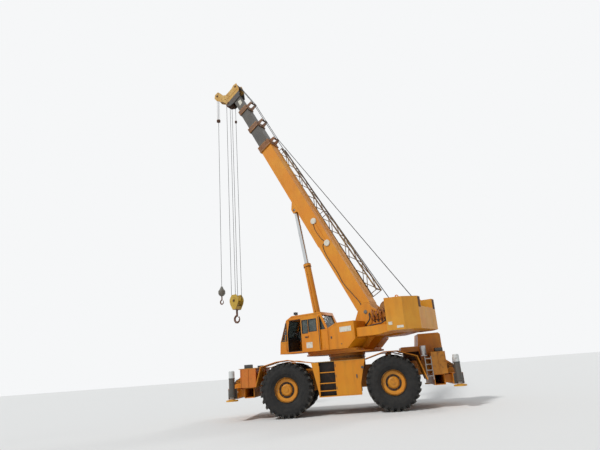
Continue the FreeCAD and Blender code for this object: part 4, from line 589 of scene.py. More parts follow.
class Shape:
    """A mesh in the making, gathered from simple solids in one place's coordinates."""

    def __init__(self, place: Place = Place.CARRIER) -> None:
        """Start an empty shape at a place."""
        self.place = place
        self.mesh = bmesh.new()

    def _take(self, made: Iterable[bmesh.types.BMVert], matrix: Matrix) -> None:
        """Move what was just made by a matrix."""
        bmesh.ops.transform(self.mesh, matrix=matrix, verts=list(made))

    def block(self, low: Point, high: Point, bevel: float = 0.0) -> "Shape":
        """A block between two corners, its edges eased.

        Args:
            low: the lowest corner.
            high: the highest corner.
            bevel: the edge radius.

        Returns:
            This shape.
        """
        made = bmesh.ops.create_cube(self.mesh, size=1.0)["verts"]
        size = Vector(high) - Vector(low)
        centre = (Vector(high) + Vector(low)) / 2
        self._take(made, Matrix.Translation(centre) @ Matrix.Diagonal((*size, 1.0)))
        if bevel:
            edges = list({edge for vert in made for edge in vert.link_edges})
            bmesh.ops.bevel(self.mesh, geom=edges, offset=bevel, segments=2, affect="EDGES", profile=0.6)
        return self

    def bar(
        self, start: Point, end: Point, radius: float, sides: int = 12, end_radius: float | None = None
    ) -> "Shape":
        """A round bar, or a cone where its ends differ.

        Args:
            start: one end's centre.
            end: the other end's centre.
            radius: the radius at the start.
            sides: the number of sides.
            end_radius: the radius at the end, where it differs.

        Returns:
            This shape.
        """
        run = Vector(end) - Vector(start)
        last = radius if end_radius is None else end_radius
        made = bmesh.ops.create_cone(
            self.mesh, cap_ends=True, segments=sides, radius1=radius, radius2=last, depth=run.length
        )["verts"]
        turn = run.to_track_quat("Z", "Y").to_matrix().to_4x4()
        self._take(made, Matrix.Translation((Vector(start) + Vector(end)) / 2) @ turn)
        return self

    def slab(self, outline: Outline, low: float, high: float) -> "Shape":
        """A side-view outline in X and Z with a thickness along Y.

        Args:
            outline: its corners.
            low: its lower Y.
            high: its higher Y.

        Returns:
            This shape.
        """
        rings = [[self.mesh.verts.new((x, y, z)) for x, z in outline] for y in (low, high)]
        self.mesh.faces.new(rings[0])
        self.mesh.faces.new(list(reversed(rings[1])))
        count = len(outline)
        for here in range(count):
            there = (here + 1) % count
            self.mesh.faces.new((rings[0][here], rings[1][here], rings[1][there], rings[0][there]))
        return self

    def band(self, outline: Outline, width: float, low: float, high: float) -> "Shape":
        """A strip that follows an outline, such as a gasket, as wide on the inside as stated.

        Args:
            outline: the outer corners in X and Z, in order.
            width: the strip's width.
            low: its lower Y.
            high: its higher Y.

        Returns:
            This shape.
        """
        count = len(outline)
        middle = Vector((sum(x for x, _ in outline) / count, sum(z for _, z in outline) / count))
        inner = []
        for step in range(count):
            before, here, after = (Vector(outline[(step + k) % count]) for k in (-1, 0, 1))
            first, second = (here - before).normalized(), (after - here).normalized()
            normals = [Vector((-run.y, run.x)) for run in (first, second)]
            normals = [n if n.dot(middle - here) > 0 else -n for n in normals]
            spread = normals[0] + normals[1]
            inner.append(here + spread * (width / max(spread.length_squared / 2, 0.35)))
        for step in range(count):
            after = (step + 1) % count
            self.slab(
                [tuple(outline[step]), tuple(outline[after]), tuple(inner[after]), tuple(inner[step])],
                low,
                high,
            )
        return self

    def hoop(
        self, ends: tuple[float, float], half: float, tall: float, thick: float, bevel: float
    ) -> "Shape":
        """Four flat straps round a box section.

        Args:
            ends: the stations along X where the straps begin and end.
            half: their outer half width.
            tall: their outer half height.
            thick: their thickness.
            bevel: their edge radius.

        Returns:
            This shape.
        """
        start, end = ends
        self.block((start, -half, -tall), (end, half, -tall + thick), bevel)
        self.block((start, -half, tall - thick), (end, half, tall), bevel)
        self.block((start, -half, -tall), (end, -half + thick, tall), bevel)
        self.block((start, half - thick, -tall), (end, half, tall), bevel)
        return self

    def ring(self, centre: Point, axis: Point, profile: Outline, sides: int = 32) -> "Shape":
        """A closed profile of radius and height turned about an axis.

        Args:
            centre: the ring's centre.
            axis: its axis.
            profile: its corners, as radius and height.
            sides: the number of steps round.

        Returns:
            This shape.
        """
        turn = Vector(axis).to_track_quat("Z", "Y").to_matrix().to_4x4()
        matrix = Matrix.Translation(centre) @ turn
        rings = []
        for step in range(sides):
            angle = math.tau * step / sides
            rings.append(
                [
                    self.mesh.verts.new(matrix @ Vector((r * math.cos(angle), r * math.sin(angle), z)))
                    for r, z in profile
                ]
            )
        for step in range(sides):
            here, there = rings[step], rings[(step + 1) % sides]
            for corner in range(len(profile)):
                after = (corner + 1) % len(profile)
                self.mesh.faces.new((here[corner], there[corner], there[after], here[after]))
        return self

    def hose(self, points: Sequence[Point], radius: float, sides: int = 10, smooth: int = 6) -> "Shape":
        """A round hose or bent rail through points, its corners rounded.

        Args:
            points: the route's corners.
            radius: the hose's radius.
            sides: the number of sides.
            smooth: steps between two corners.

        Returns:
            This shape.
        """
        route = [Vector(p) for p in points]
        if smooth > 1 and len(route) > 2:
            padded = [2 * route[0] - route[1], *route, 2 * route[-1] - route[-2]]
            fine = []
            for a, b, c, d in zip(padded, padded[1:], padded[2:], padded[3:]):
                for step in range(smooth):
                    t = step / smooth
                    fine.append(
                        0.5 * (
                            2 * b + (c - a) * t + (
                                2 * a - 5 * b + 4 * c - d
                            ) * t * t + (3 * b - a - 3 * c + d) * t**3
                        )
                    )
            route = [*fine, route[-1]]
        rings = []
        side = None
        for number, here in enumerate(route):
            before, after = route[max(number - 1, 0)], route[min(number + 1, len(route) - 1)]
            ahead = (after - before).normalized()
            side = ahead.orthogonal() if side is None else side - ahead * side.dot(ahead)
            side.normalize()
            other = ahead.cross(side)
            spin = [math.tau * k / sides for k in range(sides)]
            rings.append(
                [
                    self.mesh.verts.new(
                        here + radius * (math.cos(a) * side + math.sin(a) * other)
                    ) for a in spin
                ]
            )
        for here, there in zip(rings, rings[1:]):
            for k in range(sides):
                after = (k + 1) % sides
                self.mesh.faces.new((here[k], here[after], there[after], there[k]))
        self.mesh.faces.new(list(reversed(rings[0])))
        self.mesh.faces.new(rings[-1])
        return self

    def ball(self, centre: Point, radius: float) -> "Shape":
        """A ball."""
        made = bmesh.ops.create_uvsphere(self.mesh, u_segments=16, v_segments=10, radius=radius)["verts"]
        self._take(made, Matrix.Translation(centre))
        return self

    def nuts(
        self, centre: Point, axis: Point, circle: float, count: int, radius: float, tall: float
    ) -> "Shape":
        """A circle of hexagon nuts.

        Args:
            centre: the circle's centre.
            axis: its axis, pointing outwards.
            circle: its radius.
            count: how many nuts.
            radius: a nut's radius across corners.
            tall: a nut's height.

        Returns:
            This shape.
        """
        turn = Vector(axis).to_track_quat("Z", "Y").to_matrix().to_4x4()
        matrix = Matrix.Translation(centre) @ turn
        for number in range(count):
            angle = math.tau * (number + 0.5) / count
            foot = matrix @ Vector((circle * math.cos(angle), circle * math.sin(angle), 0))
            top = matrix @ Vector((circle * math.cos(angle), circle * math.sin(angle), tall))
            stud = matrix @ Vector((circle * math.cos(angle), circle * math.sin(angle), tall * 1.5))
            self.bar(tuple(foot), tuple(top), radius, 6)
            self.bar(tuple(top), tuple(stud), radius * 0.55, 6)
        return self

    def piece(
        self,
        name: str,
        body: str,
        finish: Finish,
        rounded: bool = True,
        edge: float = 0.0,
        between: tuple[str, Point, Point] | None = None,
    ) -> bpy.types.Object:
        """Close the shape as a piece that rides on a body.

        Args:
            name: the piece's name.
            body: the body it rides on.
            finish: its finish.
            rounded: whether its faces are shaded smooth, but for sharp edges.
            edge: a bevel laid on the sharp edges.
            between: for a piece that spans a joint, the second body and the points where each hold ends; only
                whether it is given is read, the piece's transform is then baked, and it rides on the first
                body alone.

        Returns:
            The piece.
        """
        bmesh.ops.recalc_face_normals(self.mesh, faces=self.mesh.faces[:])
        data = bpy.data.meshes.new(name)
        self.mesh.to_mesh(data)
        self.mesh.free()
        data.transform(self.place.matrix())
        if rounded:
            data.polygons.foreach_set("use_smooth", [True] * len(data.polygons))
            data.set_sharp_from_angle(angle=math.radians(32))
        data.materials.append(finish.made())
        item = bpy.data.objects.new(name, data)
        bpy.context.scene.collection.objects.link(item)
        if edge:
            bevel = item.modifiers.new("edge", "BEVEL")
            bevel.width, bevel.segments, bevel.limit_method = edge, 2, "ANGLE"
        if between:
            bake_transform(item)
        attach(item, body)
        LOG.info("piece %s: %d faces on %s", name, len(data.polygons), body)
        return item


@dataclass
class Studio:
    """Camera, lamps, floor and backdrop."""

    eye: Point = (-0.97, 18.137, 1.588)
    yaw: float = 6.58
    pitch: float = 17.78
    roll: float = -4.32
    lens: float = 27.0

    def camera(self) -> None:
        """Set the camera where the photograph was taken from."""
        yaw, pitch, roll = (math.radians(a) for a in (self.yaw, self.pitch, self.roll))
        ahead = Vector((math.sin(yaw) * math.cos(pitch), -math.cos(yaw) * math.cos(pitch), math.sin(pitch)))
        right = ahead.cross(Vector((0, 0, 1))).normalized()
        top = right.cross(ahead)
        tilted = right * math.cos(roll) + top * math.sin(roll)
        upward = top * math.cos(roll) - right * math.sin(roll)
        turn = Matrix((tilted, upward, -ahead)).transposed().to_4x4()
        data = bpy.data.cameras.new("photo_camera")
        data.lens, data.sensor_width, data.sensor_fit = self.lens, 36.0, "HORIZONTAL"
        data.clip_end = 400.0
        camera = bpy.data.objects.new("photo_camera", data)
        bpy.context.scene.collection.objects.link(camera)
        camera.matrix_world = Matrix.Translation(self.eye) @ turn
        bpy.context.scene.camera = camera

    def lamps(self) -> None:
        """A high sun from the front left and a weaker, softer sun from the rear right."""
        sun = bpy.data.lights.new("key_sun", "SUN")
        sun.energy, sun.angle = 2.1, math.radians(6)
        lamp = bpy.data.objects.new("key_sun", sun)
        lamp.matrix_world = Vector((0.55, 0.62, 0.85)).to_track_quat("Z", "Y").to_matrix().to_4x4()
        bpy.context.scene.collection.objects.link(lamp)
        back = bpy.data.lights.new("rim_sun", "SUN")
        back.energy, back.angle = 0.5, math.radians(12)
        lamp = bpy.data.objects.new("rim_sun", back)
        lamp.matrix_world = Vector((-0.7, -0.6, 0.6)).to_track_quat("Z", "Y").to_matrix().to_4x4()
        bpy.context.scene.collection.objects.link(lamp)

    def surroundings(self) -> None:
        """A pale floor, and a world that shows white to the camera, in gloss and through glass."""
        world = bpy.data.worlds.new("studio_world")
        bpy.context.scene.world = world
        world.use_nodes = True
        tree = world.node_tree
        tree.nodes.clear()
        seen = add(tree, "LightPath")
        either = add(
            tree,
            "Math",
            {0: seen.outputs["Is Camera Ray"], 1: seen.outputs["Is Glossy Ray"]},
            operation="MAXIMUM",
        )
        shown = add(
            tree,
            "Math",
            {0: either.outputs[0], 1: seen.outputs["Is Transmission Ray"]},
            operation="MAXIMUM",
        )
        soft = add(tree, "Background", {"Color": paint("#E9EDF2"), "Strength": 0.55})
        white = add(tree, "Background", {"Color": paint("#F6F7F8"), "Strength": 1.0})
        both = add(tree, "MixShader", {0: shown.outputs[0], 1: soft.outputs[0], 2: white.outputs[0]})
        add(tree, "OutputWorld", {"Surface": both.outputs[0]})
        mesh = bmesh.new()
        bmesh.ops.create_grid(mesh, x_segments=1, y_segments=1, size=160.0)
        data = bpy.data.meshes.new("studio_floor")
        mesh.to_mesh(data)
        mesh.free()
        data.transform(Matrix.Translation((0, 0, -0.002)))
        material = bpy.data.materials.new("pale_floor")
        material.use_nodes = True
        shader = material.node_tree.nodes["Principled BSDF"]
        shader.inputs["Base Color"].default_value = paint("#DCDCDA")
        shader.inputs["Roughness"].default_value = 0.9
        data.materials.append(material)
        floor = bpy.data.objects.new("studio_floor", data)
        bpy.context.scene.collection.objects.link(floor)
        bpy.context.scene.view_settings.view_transform = "Standard"

    def build(self) -> None:
        """Set up everything that isn't the crane."""
        self.camera()
        self.lamps()
        self.surroundings()


@dataclass
class RunningGear:
    """Tyres, rims, hub bolts and axles."""

    axle: float = 1.875
    track: float = 1.175
    height: float = 0.937
    stud_circle: float = 0.240
    studs: int = 12
    cover_circle: float = 0.150
    covers: int = 10
    seat: float = 0.155
    cover: float = 0.222

    def build(self) -> None:
        """Dress each wheel and set its nuts."""
        for end, along in (("front", 1), ("rear", -1)):
            for hand, side in (("left", 1), ("right", -1)):
                centre = (along * self.axle, side * self.track, self.height)
                spot = f"{end}_{hand}"
                dress(DustyRubberWithPaintedHighlight(f"dusty_tyre_rubber_painted_highlight_{spot}", "tyre", centre=centre), f"tyre_{spot}")
                dress(RimEnamel(f"wheel_enamel_{spot}", "yellow_paint", centre=centre), f"rim_{spot}")
                dress(DARK, f"knuckle_{spot}")
                out = (0.0, float(side), 0.0)
                studs = Shape()
                studs.nuts(
                    (centre[0], centre[1] + side * self.seat, centre[2]),
                    out,
                    self.stud_circle,
                    self.studs,
                    0.019,
                    0.024,
                )
                studs.piece(f"wheel_nuts_{spot}", f"wheel_{spot}", RUSTED)
                covers = Shape()
                covers.nuts(
                    (centre[0], centre[1] + side * self.cover, centre[2]),
                    out,
                    self.cover_circle,
                    self.covers,
                    0.012,
                    0.034,
                )
                covers.ring(
                    (centre[0], centre[1] + side * 0.249, centre[2]),
                    out,
                    [(0.0, 0.0), (0.075, 0.0), (0.068, 0.014), (0.0, 0.016)],
                    24,
                )
                covers.bar(
                    (centre[0] + 0.05, centre[1] + side * 0.25, centre[2] + 0.09),
                    (centre[0] + 0.05, centre[1] + side * 0.268, centre[2] + 0.09),
                    0.014,
                    6,
                )
                covers.piece(
                    f"hub_bolts_{spot}",
                    f"wheel_{spot}",
                    RimEnamel(f"wheel_enamel_{spot}", "yellow_paint", centre=centre),
                )
                valve = Shape()
                valve.hose(
                    [
                        (centre[0] + 0.33, centre[1] + side * 0.222, centre[2]),
                        (centre[0] + 0.345, centre[1] + side * 0.26, centre[2]),
                        (centre[0] + 0.30, centre[1] + side * 0.275, centre[2]),
                    ],
                    0.006,
                )
                valve.piece(f"valve_{spot}", f"wheel_{spot}", GREASED)
        dress(DARK, "axles")


@dataclass
class Carrier:
    """Frame, deck, fenders, tanks, steps, lockers, lamps and what is fixed to them."""

    half: float = 1.5
    deck: float = 1.8
    tread: float = 0.085
    lip: float = 0.012

    front_fender: Outline = field(
        default_factory=lambda: (
            (2.98, 1.11), (2.78, 1.785), (2.20, 1.92), (1.77, 1.95), (1.39, 1.87), (0.93, 1.80)
        )
    )
    rear_fender: Outline = field(
        default_factory=lambda: (
            (-1.0, 1.80), (-1.65, 1.985), (-2.13, 1.985), (-2.79, 1.765), (-3.035, 0.96)
        )
    )

    def finishes(self) -> None:
        """Dress the carrier's nodes."""
        dress(YELLOW, "frame", "fenders", "side_tanks", "outrigger_boxes", "hood")
        dress(STEPS, "steps")
        dress(DECK_YELLOW, "deck")
        dress(LOCKERS, "lockers")
        dress(DARK, "grille")
        dress(SILVER, "exhaust")
        dress(GRIMY, "slew_ring")
        dress(RUSTED, "engine")
        dress(CLEAR, "lamps")

    def fender_edges(self) -> None:
        """Rolled wire edges along the outside of each fender."""
        edges = Shape()
        for side in (1, -1):
            for outline in (self.front_fender, self.rear_fender):
                route = [(x, side * (self.half - 0.004), z - 0.006) for x, z in outline]
                edges.hose(route, self.lip, smooth=1)
        edges.piece("fender_edges", "carrier", YELLOW)

    def tank_doors(self) -> None:
        """A raised door with hinges, a latch and a filler on each tank, and seams along the deck."""
        doors, irons = Shape(), Shape()
        for side in (1, -1):
            y = sorted((side * (self.half - 0.002), side * (self.half + 0.005)))
            doors.band([(0.08, 0.66), (0.08, 1.74), (-0.72, 1.74), (-0.72, 0.66)], 0.025, *y)
            doors.slab([(0.11, 1.778), (0.11, 1.762), (-0.96, 1.762), (-0.96, 1.778)], *y)
            for z in (0.85, 1.25, 1.60):
                irons.bar(
                    (0.085, side * (self.half + 0.008), z),
                    (0.085, side * (self.half + 0.008), z + 0.09),
                    0.010,
                    8,
                )
            irons.block(
                (-0.66, min(side * self.half, side * (self.half + 0.022)), 1.18),
                (-0.62, max(side * self.half, side * (self.half + 0.022)), 1.30),
                0.004,
            )
            irons.bar(
                (-0.86, side * (self.half - 0.02), 1.52),
                (-0.86, side * (self.half + 0.03), 1.52),
                0.045,
                20,
            )
        doors.piece("tank_doors", "carrier", YELLOW)
        irons.piece("tank_irons", "carrier", DARK)

    def steps(self) -> None:
        """Grip strips on the treads and grab rails beside them."""
        grips, rails = Shape(), Shape()
        for side in (1, -1):
            for z in (0.835, 1.085, 1.445):
                for number in range(9):
                    x = 0.15 + number * 0.062
                    y = sorted((side * 1.27, side * 1.49))
                    grips.block((x, y[0], z), (x + 0.012, y[1], z + 0.006))
            out = side * (self.half + 0.02)
            rails.hose(
                [
                    (0.66, side * 1.49, 1.16),
                    (0.66, out, 1.17),
                    (0.66, out, 1.62),
                    (0.66, side * 1.49, 1.63),
                ],
                0.012,
            )
        grips.piece("tread_grips", "carrier", DARK)
        rails.piece("step_rails", "carrier", YELLOW)

    def deck_plates(self) -> None:
        """Raised tread bars on the deck plates, in rows, each turned across its neighbours."""
        bars = Shape()
        fields = [
            ((-0.94, 0.88), (1.03, 1.47), self.deck),
            ((-0.94, 0.88), (-1.47, -1.03), self.deck),
            ((2.88, 3.58), (-1.28, 1.28), self.deck - 0.03),
        ]
        for (x0, x1), (y0, y1), z in fields:
            rows, columns = int((y1 - y0) / self.tread), int((x1 - x0) / self.tread)
            for row in range(rows):
                for column in range(columns):
                    x, y = x0 + column * self.tread, y0 + row * self.tread
                    lean = 0.02 if (row + column) % 2 else -0.02
                    bars.bar((x - 0.02, y - lean, z), (x + 0.02, y + lean, z), 0.0045, 4)
        bars.piece("tread_bars", "carrier", DECK_YELLOW)

    def front_gear(self) -> None:
        """Tow eyes, block rests and hoses on the front deck and bumper."""
        irons = Shape()
        irons.block((3.18, 0.92, 1.765), (3.44, 1.22, 1.90), 0.012)
        irons.block((3.22, -1.20, 1.765), (3.42, -0.86, 1.87), 0.012)
        for y in (-0.42, 0.42):
            irons.ring(
                (4.07, y, 0.98),
                (0, 1, 0),
                [(0.045, -0.03), (0.085, -0.03), (0.085, 0.03), (0.045, 0.03)],
                24,
            )
            irons.block((4.02, y - 0.03, 0.86), (4.08, y + 0.03, 1.02), 0.006)
        irons.piece("front_irons", "carrier", DARK)
        hoses = Shape()
        for shift in (0.0, 0.05, 0.10):
            hoses.hose(
                [
                    (3.60, 0.6 + shift, 1.12),
                    (3.72, 0.7 + shift, 1.38 - shift),
                    (3.84, 0.95 + shift, 1.36 - shift),
                    (3.87, 1.18, 1.14),
                ],
                0.014,
            )
            hoses.hose(
                [
                    (-3.78, 0.6 + shift, 1.14),
                    (-3.90, 0.74 + shift, 1.42 - shift),
                    (-4.02, 0.95 + shift, 1.38 - shift),
                    (-4.08, 1.18, 1.14),
                ],
                0.014,
            )
        hoses.piece("jack_hoses", "carrier", BLACK)

    def lamp_frames(self) -> None:
        """Housings round the lamps, with their lenses."""
        frames, reds, ambers = Shape(), Shape(), Shape()
        for side in (1, -1):
            low, high = sorted((side * 0.50, side * 0.78))
            frames.block((4.05, low, 0.85), (4.112, high, 1.01), 0.008)
            frames.block((-4.30, low, 0.86), (-4.26, high, 1.0), 0.008)
            mid = side * 0.64
            reds.block((-4.318, mid - 0.12, 0.88), (-4.30, mid - 0.02, 0.98), 0.004)
            ambers.block((-4.318, mid + 0.02, 0.88), (-4.30, mid + 0.12, 0.98), 0.004)
            for x in (3.72, -3.95):
                ambers.bar((x, side * 1.255, 0.98), (x, side * 1.268, 0.98), 0.04, 20)
        frames.piece("lamp_housings", "carrier", DARK)
        reds.piece("tail_lenses", "carrier", RED)
        ambers.piece("marker_lenses", "carrier", AMBER)

    def engine_cover(self) -> None:
        """Door seams, louvres, a filler cap and handles on the hood."""
        seams, caps = Shape(), Shape()
        for side in (1, -1):
            y = sorted((side * 0.618, side * 0.626))
            for x0, x1 in ((-3.04, -3.40), (-3.42, -3.76)):
                seams.band([(x0, 1.66), (x0, 2.47), (x1, 2.47), (x1, 1.66)], 0.014, *y)
                for number in range(11):
                    z = 1.80 + number * 0.05
                    wide = sorted((side * 0.618, side * 0.640))
                    seams.slab(
                        [(x0 - 0.05, z), (x1 + 0.05, z), (x1 + 0.05, z + 0.012), (x0 - 0.05, z + 0.012)],
                        *wide,
                    )
                caps.block(
                    ((x0 + x1) / 2 - 0.05, min(side * 0.62, side * 0.65), 1.72),
                    ((x0 + x1) / 2 + 0.05, max(side * 0.62, side * 0.65), 1.75),
                    0.004,
                )
        caps.bar((-3.62, 0.2, 2.51), (-3.62, 0.2, 2.542), 0.05, 20)
        seams.piece("hood_louvres", "carrier", YELLOW)
        caps.piece("hood_handles", "carrier", DARK)

    def rear_gear(self) -> None:
        """A pintle hook and a chock at the rear."""
        irons = Shape()
        irons.block((-4.30, -0.14, 0.86), (-4.26, 0.14, 1.08), 0.008)
        irons.ring(
            (-4.30, 0, 0.97),
            (0, 1, 0),
            [(0.035, -0.025), (0.07, -0.025), (0.07, 0.025), (0.035, 0.025)],
            20,
        )
        irons.block((-3.72, 0.90, 1.86), (-3.46, 1.20, 1.98), 0.01)
        irons.piece("rear_irons", "carrier", DARK)

    def build(self) -> None:
        """Dress and detail the carrier."""
        self.finishes()
        self.fender_edges()
        self.tank_doors()
        self.steps()
        self.deck_plates()
        self.front_gear()
        self.lamp_frames()
        self.engine_cover()
        self.rear_gear()


@dataclass
class Stands:
    """Outrigger beams, jacks and floats."""

    places: Sequence[tuple[str, float, int]] = (
        ("front_left", 3.87, 1),
        ("front_right", 3.27, -1),
        ("rear_left", -4.08, 1),
        ("rear_right", -3.46, -1),
    )
    jack: float = 1.40

    def build(self) -> None:
        """Dress each stand and bolt its gland and pad socket."""
        barrel = ZonedEnamel(
            "jack_barrel_enamel",
            "yellow_paint",
            zones=(Zone("#4B4740", 1.285, axis=1, mirrored=True), Zone("#C4C6C4", 1.46)),
        )
        foot = ZonedEnamel(
            "jack_foot_enamel",
            "yellow_paint",
            base="#9A9C9C",
            chalked="#B9BABA",
            zones=(Zone("#C78F22", 0.755, above=False),),
        )
        for spot, x, side in self.places:
            dress(barrel, f"beam_{spot}")
            dress(foot, f"jack_{spot}")
            y = side * self.jack
            collar = Shape()
            collar.ring(
                (x, y, 0.87), (0, 0, 1), [(0.106, 0.0), (0.125, 0.0), (0.125, 0.03), (0.106, 0.03)], 28
            )
            collar.nuts((x, y, 0.90), (0, 0, 1), 0.114, 8, 0.009, 0.01)
            collar.ring(
                (x, y, 1.44), (0, 0, 1), [(0.106, 0.0), (0.112, 0.0), (0.112, 0.03), (0.106, 0.03)], 28
            )
            collar.hose(
                [
                    (x + 0.07, y, 1.70),
                    (x + 0.10, y - side * 0.03, 1.62),
                    (x + 0.115, y - side * 0.08, 1.40),
                    (x + 0.10, y - side * 0.12, 1.10),
                ],
                0.011,
            )
            collar.piece(f"jack_collar_{spot}", f"beam_body_{spot}", DARK)
            ribs = Shape()
            for number in range(6):
                angle = math.tau * number / 6
                reach = Vector((math.cos(angle), math.sin(angle)))
                near, far = reach * 0.10, reach * 0.19
                ribs.bar((x + near.x, y + near.y, 0.738), (x + far.x, y + far.y, 0.722), 0.008, 6)
            ribs.piece(f"float_ribs_{spot}", f"jack_body_{spot}", YELLOW)


@dataclass
class Cab:
    """Cab glazing, its gaskets, the door, rails, wiper and controls."""

    left: float = 1.37
    right: float = 0.47
    lap: float = 0.01

    def glazing(self) -> None:
        """Black gaskets round every opening."""
        black = Shape(Place.UPPER)
        outer = (self.left - 0.004, self.left + 0.008)
        black.band([(1.80, 2.665), (2.10, 2.665), (1.85, 3.36), (1.80, 3.36)], 0.034, *outer)
        black.band([(0.02, 2.95), (0.28, 2.95), (0.28, 3.41), (0.21, 3.41)], 0.022, *outer)
        inner = (self.right - 0.008, self.right + 0.004)
        black.band([(0.07, 2.70), (2.03, 2.70), (1.71, 3.41), (0.25, 3.41), (0.07, 3.01)], 0.03, *inner)
        black.band(
            [(1.07, 2.25), (1.77, 2.25), (1.77, 2.96), (1.65, 3.43), (1.07, 3.43)],
            0.018,
            self.left - 0.05,
            self.left + 0.003,
        )
        black.piece("cab_gaskets", "upper_works", BLACK)
        screen = Shape(Place.UPPER)
        for low, high in ((0.56, 0.585), (1.255, 1.28)):
            screen.slab([(2.146, 2.66), (1.82, 3.44), (1.812, 3.437), (2.138, 2.657)], low, high)
        for (x0, z0), (x1, z1) in (((2.146, 2.66), (2.136, 2.685)), ((1.83, 3.415), (1.82, 3.44))):
            screen.slab(
                [(x0, z0), (x1, z1), (x1 - 0.008, z1 - 0.003), (x0 - 0.008, z0 - 0.003)], 0.56, 1.28
            )
        screen.hose([(2.155, 0.95, 2.63), (2.10, 0.99, 2.80), (1.98, 1.04, 3.10)], 0.009)
        screen.hose([(2.03, 1.00, 2.96), (1.90, 1.06, 3.28)], 0.014, smooth=1)
        screen.piece("screen_trim", "upper_works", BLACK)

    def door(self) -> None:
        """The door's panes, their gaskets, its latch and a blank label."""
        skin = self.left + 0.012 + 0.0005
        panes, gaskets, labels = Shape(Place.UPPER), Shape(Place.UPPER), Shape(Place.UPPER)
        openings = (
            [(0.765, 2.88), (1.03, 2.88), (1.03, 3.37), (0.765, 3.37)],
            [(0.37, 2.92), (0.725, 2.92), (0.725, 3.37), (0.37, 3.37)],
        )
        for outline in openings:
            x_mid, z_mid = (sum(axis) / len(outline) for axis in zip(*outline))
            grown = [
                (x + (self.lap if x > x_mid else -self.lap), z + (self.lap if z > z_mid else -self.lap))
                for x, z in outline
            ]
            panes.slab(grown, skin + 0.016, skin + 0.022)
            gaskets.band(grown, 0.022, skin + 0.036, skin + 0.047)
        panes.piece("door_panes", "sliding_door", PANE)
        gaskets.block((0.26, skin + 0.038, 2.23), (0.285, skin + 0.046, 3.43), 0.003)
        gaskets.block((0.76, skin + 0.03, 2.72), (0.90, skin + 0.075, 2.76), 0.006)
        gaskets.piece("door_gaskets", "sliding_door", BLACK)
        labels.block((0.60, skin + 0.039, 2.33), (0.875, skin + 0.043, 2.54))
        labels.piece("door_label", "sliding_door", LABEL)

    def fittings(self) -> None:
        """Grab rails, roof lamp trim and panel seams."""
        rails = Shape(Place.UPPER)
        rails.hose(
            [(1.80, 1.365, 2.34), (1.83, 1.43, 2.36), (1.83, 1.43, 2.86), (1.80, 1.365, 2.88)], 0.012
        )
        rails.piece("cab_rails", "upper_works", YELLOW)
        seams = Shape(Place.UPPER)
        for outline in (
            [(1.84, 2.24), (2.13, 2.24), (2.09, 2.62), (1.84, 2.62)],
            [(-0.06, 2.24), (0.20, 2.24), (0.20, 2.90), (-0.06, 2.90)],
        ):
            seams.band(outline, 0.012, self.left - 0.002, self.left + 0.005)
        seams.slab(
            [(0.22, 3.55), (1.56, 3.55), (1.52, 3.58), (0.20, 3.58)], self.left - 0.002, self.left + 0.014
        )
        seams.piece("cab_seams", "upper_works", YELLOW)
        lamp = Shape(Place.UPPER)
        lamp.ring(
            (1.515, 1.17, 3.696), (1, 0, 0), [(0.0, 0.0), (0.045, 0.0), (0.045, 0.012), (0.0, 0.018)], 24
        )
        lamp.piece("roof_lamp_lens", "upper_works", CLEAR)

    def controls(self) -> None:
        """Steering wheel, levers and armrests."""
        rig = Shape(Place.UPPER)
        rig.ring(
            (1.62, 0.92, 2.97),
            (-0.55, 0, 1),
            [(0.17, -0.011), (0.195, -0.011), (0.195, 0.011), (0.17, 0.011)],
            32,
        )
        rig.bar((1.62, 0.92, 2.97), (1.74, 0.92, 2.76), 0.018, 12)
        for angle in (90, 210, 330):
            turn = math.radians(angle)
            rig.bar(
                (1.62, 0.92, 2.965),
                (
                    1.62 + 0.17 * math.cos(turn) * 0.87,
                    0.92 + 0.17 * math.sin(turn),
                    2.965 + 0.17 * math.cos(turn) * 0.48,
                ),
                0.008,
                8,
            )
        for y in (0.62, 0.68, 1.16, 1.22):
            rig.bar((1.28, y, 2.60), (1.30, y, 2.92), 0.009, 8)
            rig.ball((1.30, y, 2.94), 0.022)
        for y in (0.70, 1.14):
            rig.block((0.86, y - 0.03, 2.90), (1.20, y + 0.03, 2.94), 0.012)
        rig.piece("cab_controls", "upper_works", BLACK)

    def build(self) -> None:
        """Dress and detail the cab."""
        dress(YELLOW, "cab", "cab_door")
        dress(PANE, "cab_glass")
        dress(VINYL, "cab_fittings")
        self.glazing()
        self.door()
        self.fittings()
        self.controls()


